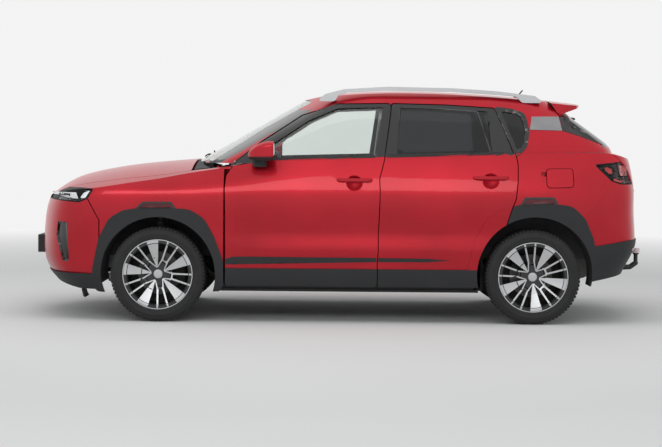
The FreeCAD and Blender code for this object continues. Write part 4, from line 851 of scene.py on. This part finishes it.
def makePillarPanels():
    for side, sign in sides:
        tree = skinTree("side_frames", "fixed_glass")
        ring = [rounded(grown(quarterGlass, 26.0), 30.0), rounded(grown(quarterGlass, -4.0), 30.0)]
        laidPatch("quarterSurround_" + side, ring, "side", sign, tree, glossBlack, "root",
                  cell=12.0, proud=3.5, depth=9.0, lifted=True)
        tree = skinTree("side_frames")
        laidPatch("pillarPanel_" + side, silverPanel, "side", sign, tree, brushedSilver, "root",
                  cell=20.0, proud=3.0, depth=6.0)
        laidPatch("pillarStrip_" + side, pillarStrip, "side", sign, tree, glossBlack, "root",
                  cell=20.0, proud=2.5, depth=5.0)


makePillarPanels()
print("rear pillars have their panels")

# Lamps: covers are ruled between the rims, and the lights lie on the raised CAD forms
lampSizes = {"coverProud": 0.8, "coverDepth": 2.5, "bulge": 1.5}
headTop = [(2300, 925), (2061, 922), (1853, 923), (1746, 917)]
headBottom = [(2300, 842), (2046, 832), (1853, 820), (1789, 845), (1746, 917)]
tailTop = [(-2200, 1132), (-1971, 1137), (-1720, 1112)]
tailBottom = [(-2200, 970), (-1910, 974), (-1842, 996), (-1720, 1112)]
headLights = {"bar": [(2058, 886), (1876, 888), (1857, 846), (1912, 847), (1933, 868), (2050, 868)],
              "block": [(1839, 849), (1839, 860), (1816, 888), (1772, 904), (1806, 852)]}
tailLights = {"front": [(-1784, 1089), (-1812, 1095), (-1850, 1079), (-1850, 1051), (-1826, 1048)],
              "rear": [(-1899, 1106), (-1962, 1106), (-1962, 1035), (-1907, 1035)],
              "strip": [(-1844, 1015), (-1880, 1013), (-1915, 999), (-1975, 995), (-1975, 983), (-1912, 986),
                        (-1860, 1000)]}


# The height of a line of (station, height) points at a station
def along(line, station):
    ordered = sorted(line)
    if station <= ordered[0][0]:
        return ordered[0][1]
    for (xa, za), (xb, zb) in zip(ordered, ordered[1:]):
        if station <= xb:
            return za + (zb - za) * (station - xa) / (xb - xa)
    return ordered[-1][1]


# A clear cover between an upper and a lower line, swept round an upright axis from one angle to another
def ruledCover(name, axisPlace, top, bottom, first, last, sign, look, tree, count=44, rows=6):
    centre = metres(axisPlace[0], 0, 0)
    centre.y = sign * axisPlace[1] / 1000
    middle = (sum(z for _, z in top) / len(top) + sum(z for _, z in bottom) / len(bottom)) / 2

    def strike(angle, height):
        way = Vector((math.cos(angle), sign * math.sin(angle), 0))
        start = Vector((centre.x, centre.y, height / 1000)) + way * 2.0
        hit = tree.ray_cast(start, -way)
        return (hit[0], way) if hit[0] else (None, way)

    columns = []
    for i in range(count + 1):
        angle = math.radians(first + (last - first) * i / count)
        hit, way = strike(angle, middle)
        if hit is None:
            continue
        for _ in range(2):
            station = hit.x * 1000 + originShift
            high, low = along(top, station) - 3.0, along(bottom, station) + 3.0
            upper, lower = strike(angle, high)[0], strike(angle, low)[0]
            if upper is None or lower is None:
                break
            hit = (upper + lower) / 2
        if upper is None or lower is None or high - low < 4.0:
            continue
        columns.append((upper, lower, way))
    outer, inner = [], []
    for upper, lower, way in columns:
        for k in range(rows + 1):
            t = k / rows
            swell = lampSizes["bulge"] * 4 * t * (1 - t) + lampSizes["coverProud"]
            point = upper.lerp(lower, t) + way * swell / 1000
            outer.append(point)
            inner.append(point - way * lampSizes["coverDepth"] / 1000)
    n, total = rows + 1, len(outer)
    faces = []
    for i in range(len(columns) - 1):
        for k in range(rows):
            a, b = i * n + k, (i + 1) * n + k
            faces.append([a, a + 1, b + 1, b])
            faces.append([total + a, total + b, total + b + 1, total + a + 1])
        for k in (0, rows):
            a, b = i * n + k, (i + 1) * n + k
            faces.append([a, b, total + b, total + a])
    for i in (0, len(columns) - 1):
        for k in range(rows):
            a = i * n + k
            faces.append([a, a + 1, total + a + 1, total + a])
    return newPiece(name, meshFrom(name, outer + inner, faces), look, "root", 60)


def makeLamps():
    for side, sign in sides:
        tree = skinTree("headlamps")
        ruledCover("headlampCover_" + side, (1300, 300), headTop, headBottom, 9.0, 50.0, sign,
                   lampCover, tree)
        for part, outline in headLights.items():
            laidPatch("headlight_" + part + "_" + side, outline, "side", sign, tree,
                      lightWhite if part == "bar" else lightChrome, "root", cell=20.0, proud=0.8)
        frontBar = [(425, 886), (640, 888), (640, 868), (425, 867)]
        laidPatch("headlight_frontBar_" + side, [(sign * y, z) for y, z in frontBar], "front", 1.0, tree,
                  lightWhite, "root", cell=20.0, proud=0.8)
        tree = skinTree("tail_lamps")
        ruledCover("tailLampCover_" + side, (-1300, 300), tailTop, tailBottom, 170.0, 128.0, sign,
                   smokedCover, tree)
        for part, outline in tailLights.items():
            laidPatch("tailLight_" + part + "_" + side, outline, "side", sign, tree, lampRed, "root",
                      cell=20.0, proud=0.8)


makeLamps()
print("lamps have their covers and lights")

# Plates, handles, wipers, aerial and the other small fittings
fittingSizes = {"plateWide": 520.0, "plateHigh": 112.0, "handleHalf": 330.0, "aerialStation": -1285.0}
# where each wiper starts and ends, from above (mm)
wiperLines = [((1026, 150), (980, -450)), ((998, -430), (965, 80))]


def makeFittings():
    wide, high = fittingSizes["plateWide"] / 2, fittingSizes["plateHigh"] / 2
    plate = roundedBlock((2236, -wide, 497 - high), (2239, wide, 497 + high), 1.2)
    newPiece("numberPlate_front", plate, plateWhite, "root")
    tree = skinTree("tailgate")
    laidPatch("plateRecess", rounded([(-300, 700), (300, 700), (300, 850), (-300, 850)], 12.0), "front", -1.0,
              tree, glossBlack, "tailgate", proud=1.5)
    plate = rounded([(-wide, 770 - high), (wide, 770 - high), (wide, 770 + high), (-wide, 770 + high)], 8.0)
    laidPatch("numberPlate_rear", plate, "front", -1.0, tree, plateWhite, "tailgate", proud=5.0,
              depth=3.0)
    # handle bar over the plate, standing clear of the gate
    grip = [(-2020, 990), (-2050, 988), (-2064, 968), (-2092, 920), (-2084, 911), (-2062, 924), (-2020, 962)]
    half = fittingSizes["handleHalf"]
    newPiece("tailgateHandle", sideBar(grip, -half, half, 3.0), glossBlack, "tailgate", 30)


def makeWipers():
    glassTree = skinTree("fixed_glass")

    def onScreen(x, y, lift):
        hit = glassTree.ray_cast(metres(x, y, 2500), Vector((0, 0, -1)))
        return (hit[0] if hit[0] else metres(x, y, 1120)) + Vector((0.4, 0, 0.9)) * lift / 1000

    for k, (first, last) in enumerate(wiperLines):
        points = [onScreen(first[0] + (last[0] - first[0]) * t / 8, first[1] + (last[1] - first[1]) * t / 8,
                           9 - 2 * t / 8) for t in range(9)]
        blade = sweptTube(points, 0.006, 8, [(0.005 if 0 < i < 8 else 0.003, 0.006) for i in range(9)])
        newPiece("wiper_" + str(k + 1), blade, rubberSeal, "root", 30)
    rearTree = skinTree("rear_window")

    def onRear(y, z, lift):
        hit = rearTree.ray_cast(Vector((-3, y / 1000, z / 1000)), Vector((1, 0, 0)))
        return (hit[0] if hit[0] else metres(-1700, y, z)) + Vector((-0.6, 0, 0.8)) * lift / 1000

    points = [onRear(20 + 38 * t, 1440 - 1.5 * t, 12 - t * 0.5) for t in range(10)]
    newPiece("rearWiper", sweptTube(points, 0.007, 8), rubberSeal, "tailgate", 30)
    knob = sweptTube([onRear(20, 1440, 2), onRear(20, 1440, 26)], 0.02, 20, [(0.022, 0.022), (0.018, 0.018)])
    newPiece("rearWiperCap", knob, cladding, "tailgate", 30)


def makeAerial():
    tree = skinTree("roof_panel")
    station = fittingSizes["aerialStation"]
    hit = tree.ray_cast(metres(station, 0, 2500), Vector((0, 0, -1)))
    foot = hit[0] if hit[0] else metres(station, 0, 1590)
    baseLine = [foot + Vector((x / 1000, 0, z / 1000)) for x, z in ((48, 0), (20, 9), (-20, 14), (-52, 2))]
    swell = [math.sin(math.pi * i / 18) for i in range(19)]
    base = sweptTube(smoothPath(baseLine), 0.02, 14, [(0.006 + 0.016 * k, 0.004 + 0.010 * k) for k in swell])
    newPiece("aerialFoot", base, rubberSeal, "root", 40)
    mast = [foot + Vector((x, 0, z)) for x, z in ((0.014, 0.006), (-0.004, 0.034), (-0.026, 0.060))]
    newPiece("aerialMast", sweptTube(smoothPath(mast), 0.005, 10), rubberSeal, "root", 40)


def makeMirrorGlass():
    for side, sign in sides:
        tree = skinTree("door_mirror_" + side)
        corners = [(872, 1142), (1020, 1146), (1024, 1236), (880, 1240)]
        outline = rounded([(sign * y, z) for y, z in corners], 26.0)
        laidPatch("mirrorGlass_" + side, outline, "front", -1.0, tree, mirrorSilver, "front_door_" + side,
                  proud=1.0)


eyelids = {"front": ([(1452, 788), (1402, 831), (1205, 833), (1174, 790)],
                     [(1424, 792), (1394, 818), (1214, 820), (1198, 794)]),
           "rear": ([(-1202, 832), (-1232, 883), (-1434, 885), (-1468, 840)],
                    [(-1224, 836), (-1244, 869), (-1423, 871), (-1444, 844)])}


def makeEyelids():
    for side, sign in sides:
        for end, (outer, inner) in eyelids.items():
            tree = skinTree("front_fenders" if end == "front" else "side_frames", "lower_cladding")
            laidPatch("eyelidFrame_" + end + "_" + side, [rounded(outer, 12.0), rounded(inner, 8.0)], "side",
                      sign, tree, glossBlack, "root", cell=20.0, proud=5.0, depth=9.0)
            # the dark red sheet that fills each frame is painted shade in the slot
            laidPatch("eyelidShadeSheet_" + end + "_" + side, rounded(grown(inner, 3.0), 8.0), "side", sign, tree,
                      paintedShadeRed, "root", cell=20.0, proud=1.5, depth=3.0)


def makeBumperTrim():
    for side, sign in sides:
        vent = [(2008, 687), (2022, 587), (1972, 410), (1929, 410), (1941, 680)]
        tree = skinTree("front_bumper", "grille")
        inner = rounded(grown(vent, -14.0), 8.0)
        laidPatch("ventFrame_" + side, [rounded(grown(vent, 2.0), 8.0), inner], "side", sign, tree,
                  glossBlack, "root", proud=2.0, depth=5.0, cell=30.0)
        tree = skinTree("rear_bumper", "lower_cladding")
        corners = [(560, 500), (700, 508), (700, 528), (560, 522)]
        reflector = rounded([(sign * y, z) for y, z in corners], 6.0)
        laidPatch("rearReflector_" + side, reflector, "front", -1.0, tree, reflectorRed, "root",
                  cell=20.0, proud=2.0)
        plank = [(1842, 212), (1848, 212), (1836, 158), (1822, 150), (1818, 156), (1828, 164)]
        newPiece("airDeflector_" + side, sideBar(plank, sign * 560, sign * 735, 1.2, 1), rubberSeal, "root",
                 30)
    tree = skinTree("tailgate")
    stopLamp = rounded([(-170, 1490), (170, 1490), (170, 1502), (-170, 1502)], 5.0)
    laidPatch("highStopLamp", stopLamp, "front", -1.0, tree, lampRed, "tailgate", proud=1.5)


makeFittings()
makeWipers()
makeAerial()
makeMirrorGlass()
makeEyelids()
makeBumperTrim()
print("small fittings are on")

# Seats: padded forms blown up by a short cloth run, then seams are pressed in
seatSizes = {"voxel": 0.0105, "pressure": 4.0, "cap": 0.011, "seamDepth": 0.0065, "seamWidth": 0.0055,
             "bolster": 0.024, "fill": 0.75, "clothFrames": 20, "clothQuality": 3}
frontCushion = [(322, 312), (328, 436), (296, 452), (-118, 411), (-162, 394), (-162, 312)]
frontBack = [(-118, 418), (-172, 345), (-224, 345), (-392, 978), (-372, 1010), (-306, 1010), (-278, 980)]
frontHead = [(-326, 1022), (-396, 1022), (-417, 1186), (-396, 1207), (-354, 1202), (-338, 1176)]
benchCushion = [(-436, 384), (-436, 436), (-466, 457), (-845, 413), (-896, 414), (-938, 500), (-946, 384)]
benchBack = [(-846, 428), (-906, 428), (-966, 586), (-1083, 970), (-1066, 997), (-1014, 1001), (-987, 978)]
benchHead = [(-1031, 1006), (-1082, 1006), (-1101, 1116), (-1081, 1138), (-1051, 1133), (-1036, 1110)]


def evaluatedCopy(piece):
    graph = bpy.context.evaluated_depsgraph_get()
    mesh = bpy.data.meshes.new_from_object(piece.evaluated_get(graph), depsgraph=graph)
    piece.modifiers.clear()
    piece.data = mesh
    return mesh


def smoothStep(value, low, high):
    t = min(1.0, max(0.0, (value - low) / (high - low)))
    return t * t * (3 - 2 * t)


# A closed cushion from a side outline, blown up a little by cloth
def puffed(name, outline, yLow, yHigh, bolster=None):
    piece = bpy.data.objects.new(name, sideBar(outline, yLow + 6, yHigh - 6, 26.0, 3))
    bpy.context.collection.objects.link(piece)
    piece.modifiers.new("even", "REMESH").voxel_size = seatSizes["voxel"]
    mesh = evaluatedCopy(piece)
    middle, half = (yLow + yHigh) / 2000, (yHigh - yLow) / 2000
    if bolster:
        for v in mesh.vertices:
            side = smoothStep(abs(v.co.y - middle), half * 0.52, half * 0.80) * seatSizes["bolster"]
            facing = smoothStep(v.normal.dot(bolster), 0.2, 0.8)
            v.co += bolster * side * facing
    before = [v.co.copy() for v in mesh.vertices]
    cloth = piece.modifiers.new("puff", "CLOTH")
    cloth.settings.use_pressure = True
    cloth.settings.uniform_pressure_force = seatSizes["pressure"]
    cloth.settings.effector_weights.gravity = 0.0
    cloth.settings.quality = seatSizes["clothQuality"]
    cloth.point_cache.frame_start = 1
    cloth.point_cache.frame_end = seatSizes["clothFrames"]
    for moment in range(1, seatSizes["clothFrames"] + 1):
        bpy.context.scene.frame_set(moment)
    mesh = evaluatedCopy(piece)
    for v, start in zip(mesh.vertices, before):
        shift = v.co - start
        if shift.length > seatSizes["cap"]:
            v.co = start + shift * (seatSizes["cap"] / shift.length)
    bpy.context.scene.frame_set(1)
    piece.modifiers.new("finer", "SUBSURF").levels = 1
    piece.modifiers["finer"].render_levels = 1
    evaluatedCopy(piece)
    return piece


# Press the surface in along lines; each distance function says how far a point is from its line
def pressSeams(piece, distances):
    mesh = piece.data
    normals = [v.normal.copy() for v in mesh.vertices]
    for v, normal in zip(mesh.vertices, normals):
        near = min(distance(v.co) for distance in distances)
        push = seatSizes["seamDepth"] * math.exp(-((near / seatSizes["seamWidth"]) ** 2))
        v.co -= normal * push


def finishPad(piece, middle, sidesFrom):
    mesh = piece.data
    mesh.materials.clear()
    mesh.materials.append(seatCloth)
    mesh.materials.append(seatSide)
    for polygon in mesh.polygons:
        polygon.use_smooth = True
        polygon.material_index = 1 if abs(polygon.center.y - middle) > sidesFrom else 0
    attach(piece, "root")
    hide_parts("seats")


def makeSeats():
    for side, sign in sides:
        low, high = (125, 615) if sign > 0 else (-615, -125)
        middle = (low + high) / 2000
        flutes = [lambda co: abs(abs(co.y - middle) - 0.148)]
        cushion = puffed("seatCushion_" + side, frontCushion, low, high, Vector((0, 0, 1)))
        pressSeams(cushion, flutes + [lambda co: abs(co.x - 0.16), lambda co: abs(co.x - 0.02)])
        finishPad(cushion, middle, 0.148)
        back = puffed("seatBack_" + side, frontBack, low + 15, high - 15, Vector((0.96, 0, 0.26)))
        pressSeams(back, flutes + [lambda co: abs(co.z - 0.62), lambda co: abs(co.z - 0.78)])
        finishPad(back, middle, 0.148)
        head = puffed("headRest_" + side, frontHead, middle * 1000 - 130, middle * 1000 + 130)
        pressSeams(head, [lambda co: abs(abs(co.y - middle) - 0.102)])
        finishPad(head, middle, 0.102)
        plinth = roundedBlock((-140, low + 40, 222.5), (290, high - 40, 308), 12.0)
        base = newPiece("seatBase_" + side, plinth, softBlack, "root")
        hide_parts("seats")
        for k, offset in enumerate((-55, 55)):
            y = middle * 1000 + offset
            newPiece("headRestPost_" + side + "_" + str(k + 1),
                     sweptTube([metres(-345, y, 960), metres(-360, y, 1060)], 0.006, 12), stainless, "root")
    flutes = [lambda co, at=at: abs(abs(co.y) - at) for at in (0.105, 0.42)]
    cushion = puffed("benchCushion", benchCushion, -560, 560)
    pressSeams(cushion, flutes)
    finishPad(cushion, 0.0, 0.42)
    back = puffed("benchBack", benchBack, -560, 560)
    pressSeams(back, flutes + [lambda co: abs(co.z - 0.74)])
    finishPad(back, 0.0, 0.42)
    for side, sign in sides:
        y = sign * 330
        head = puffed("benchHead_" + side, benchHead, y - 120, y + 120)
        pressSeams(head, [lambda co: abs(abs(co.y - y / 1000) - 0.095)])
        finishPad(head, y / 1000, 0.095)
        low, high = (124, 552) if sign > 0 else (-552, -124)
        newPiece("benchBase_" + side,
                 sideBar([(-490, 223), (-446, 300), (-444, 386), (-940, 386), (-948, 223)], low, high, 8.0),
                 softBlack, "root")


makeSeats()
print("seats are padded and sewn")

# Dashboard fittings, gear lever and mirror inside the cabin
cabinSizes = {"screen": (250.0, 140.0), "ventBars": 6}


def makeCabin():
    wide, high = cabinSizes["screen"]
    screen = [(588, 1060), (600, 1060), (622, 1060 + high), (610, 1060 + high)]
    newPiece("centreScreen", sideBar(screen, -wide / 2, wide / 2, 3.0), glossBlack, "root", 30)
    hood = [(560, 1062), (640, 1070), (650, 1118), (560, 1112), (548, 1104), (548, 1096), (600, 1098)]
    newPiece("dialHood", sideBar(hood, 230, 510, 5.0, 3), softBlack, "root", 30)
    for k, y in enumerate((-560, -210, 210, 560)):
        ring = sideBar([(552, 990), (572, 990), (578, 1046), (560, 1046)], y - 55, y + 55, 6.0, 3)
        newPiece("airVent_" + str(k + 1), ring, softBlack, "root", 30)
        slat = [(546, 996), (560, 998), (560, 1000), (546, 998)]
        bars = [sideBar([(x, z + 8 * i) for x, z in slat], y - 48, y + 48, 0.5, 1)
                for i in range(cabinSizes["ventBars"])]
        newPiece("airVentBars_" + str(k + 1), joined("ventBars", bars), satinRail, "root", 30)
    knob = turned([(0, -32), (14, -30), (22, -18), (24, 0), (20, 20), (10, 30), (0, 31)], 250, 640, 1.0, 20)
    newPiece("gearKnob", knob, wheelLeather, "root", 50)
    lever = sweptTube([metres(262, 0, 512), metres(256, 0, 560), metres(250, 0, 630)], 0.008, 12)
    newPiece("gearLever", lever, stainless, "root", 40)
    gaiter = sweptTube([metres(266, 0, 505), metres(262, 0, 545), metres(258, 0, 578)], 0.04, 16,
                       [(0.060, 0.050), (0.036, 0.030), (0.014, 0.014)])
    newPiece("gearGaiter", gaiter, wheelLeather, "root", 50)
    pad = turned([(0, -26), (60, -24), (74, -14), (76, -2), (60, 10), (0, 14)], 0, 0, 1.0, 28)
    tilt = Matrix.Rotation(math.radians(24), 4, "Y") @ Matrix.Rotation(math.radians(90), 4, "Z")
    place = Matrix.Translation(metres(418, 370, 1015))
    pad.transform(place @ tilt @ Matrix.Translation(-metres(0, 0, 0)))
    newPiece("hornPad", facesOut(pad), wheelLeather, "steering_wheel", 50)
    mirror = sideBar([(300, 1400), (316, 1398), (322, 1462), (306, 1466)], -118, 118, 7.0, 3)
    newPiece("cabinMirror", mirror, softBlack, "root", 40)
    glassFace = sideBar([(297.5, 1406), (299.5, 1405.8), (305.5, 1458), (303.5, 1458.4)], -108, 108, 0.6, 1)
    newPiece("cabinMirrorGlass", glassFace, mirrorSilver, "root", 30)
    stalk = sweptTube([metres(312, 0, 1460), metres(330, 0, 1500)], 0.009, 12)
    newPiece("cabinMirrorStalk", stalk, softBlack, "root", 40)


makeCabin()
print("cabin has its fittings")

# Floor, light and camera
stageSizes = {"floor": 240.0, "floorColour": (0.70, 0.71, 0.71), "fadeFrom": 4.5, "fadeTo": 11.0,
              "background": 0.90}
lightPower = {"overhead": 170, "side": 150, "front": 70, "rear": 70, "far": 60, "world": 0.40}
cameraSizes = {"distance": 12.0, "height": 1.25, "ahead": 0.0844, "pitch": 2.88, "roll": 0.49, "lens": 87.66}


# One for rays that see the background white: from the camera, mirrored or through glass
def whiteRays(tree):
    path = tree.nodes.new("ShaderNodeLightPath")
    seen = path.outputs["Is Camera Ray"]
    for output in ("Is Glossy Ray", "Is Transmission Ray"):
        node = tree.nodes.new("ShaderNodeMath")
        node.operation = "MAXIMUM"
        tree.links.new(seen, node.inputs[0])
        tree.links.new(path.outputs[output], node.inputs[1])
        seen = node.outputs[0]
    return seen


def paleFloor():
    # far from the car the floor fades into the white background
    material = surface("paleFloor", stageSizes["floorColour"], 0.85, 0.015, 30.0, 0.0, 0.4, 0.03)
    tree = material.node_tree
    length = tree.nodes.new("ShaderNodeVectorMath")
    length.operation = "LENGTH"
    tree.links.new(objectPlace(tree), length.inputs[0])
    far = valueRange(tree, length.outputs["Value"], 0.0, 1.0, stageSizes["fadeFrom"], stageSizes["fadeTo"])
    share = tree.nodes.new("ShaderNodeMath")
    share.operation = "MULTIPLY"
    tree.links.new(far, share.inputs[0])
    tree.links.new(whiteRays(tree), share.inputs[1])
    white = tree.nodes.new("ShaderNodeEmission")
    white.inputs["Strength"].default_value = stageSizes["background"]
    mix = tree.nodes.new("ShaderNodeMixShader")
    tree.links.new(share.outputs["Value"], mix.inputs["Fac"])
    tree.links.new(tree.nodes["Principled BSDF"].outputs["BSDF"], mix.inputs[1])
    tree.links.new(white.outputs["Emission"], mix.inputs[2])
    tree.links.new(mix.outputs["Shader"], tree.nodes["Material Output"].inputs["Surface"])
    return material


def makeStage():
    half = stageSizes["floor"] / 2
    mesh = meshFrom("studioFloor", [(-half, -half, 0), (half, -half, 0), (half, half, 0), (-half, half, 0)],
                    [(0, 1, 2, 3)])
    floor = bpy.data.objects.new("studioFloor", mesh)
    bpy.context.collection.objects.link(floor)
    mesh.materials.append(paleFloor())
    world = bpy.data.worlds.new("studioWorld")
    bpy.context.scene.world = world
    world.use_nodes = True
    tree = world.node_tree
    background = tree.nodes["Background"]
    background.inputs["Color"].default_value = (1, 1, 1, 1)
    strength = tree.nodes.new("ShaderNodeMapRange")
    strength.inputs["To Min"].default_value = lightPower["world"]
    strength.inputs["To Max"].default_value = stageSizes["background"]
    tree.links.new(whiteRays(tree), strength.inputs["Value"])
    tree.links.new(strength.outputs["Result"], background.inputs["Strength"])


def softLight(name, place, target, wide, high, power, mirrored=True):
    data = bpy.data.lights.new(name, "AREA")
    data.shape = "RECTANGLE"
    data.size = wide
    data.size_y = high
    data.energy = power
    lamp = bpy.data.objects.new(name, data)
    bpy.context.collection.objects.link(lamp)
    lamp.location = place
    lamp.visible_glossy = mirrored
    lamp.rotation_euler = (Vector(target) - Vector(place)).to_track_quat("-Z", "Y").to_euler()


def makeCamera():
    data = bpy.data.cameras.new("photoCamera")
    data.sensor_fit = "HORIZONTAL"
    data.sensor_width = 36.0
    data.lens = cameraSizes["lens"]
    data.clip_end = 400.0
    camera = bpy.data.objects.new("photoCamera", data)
    bpy.context.collection.objects.link(camera)
    pitch, roll = math.radians(cameraSizes["pitch"]), math.radians(cameraSizes["roll"])
    turn = Matrix.Rotation(math.pi, 4, "Z") @ Matrix.Rotation(math.pi / 2 - pitch, 4, "X") @ Matrix.Rotation(
        roll, 4, "Z")
    place = (cameraSizes["ahead"], cameraSizes["distance"], cameraSizes["height"])
    camera.matrix_world = Matrix.Translation(place) @ turn
    bpy.context.scene.camera = camera


makeStage()
softLight("overheadSoftbox", (0.3, 1.5, 6.0), (0, 0, 0.8), 7.0, 4.0, lightPower["overhead"], False)
softLight("sideSoftbox", (1.5, 8.5, 4.4), (0, 0, 0.8), 8.0, 2.2, lightPower["side"])
softLight("frontSoftbox", (8.0, -1.0, 3.5), (0, 0, 0.8), 4.0, 2.5, lightPower["front"], False)
softLight("rearSoftbox", (-8.0, 2.0, 3.5), (0, 0, 0.8), 4.0, 2.5, lightPower["rear"], False)
softLight("farSoftbox", (0.0, -5.5, 6.5), (0, 0, 0.8), 8.0, 2.2, lightPower["far"], False)
makeCamera()
bpy.context.scene.view_settings.view_transform = "Standard"
print("stage, lights and camera are up")
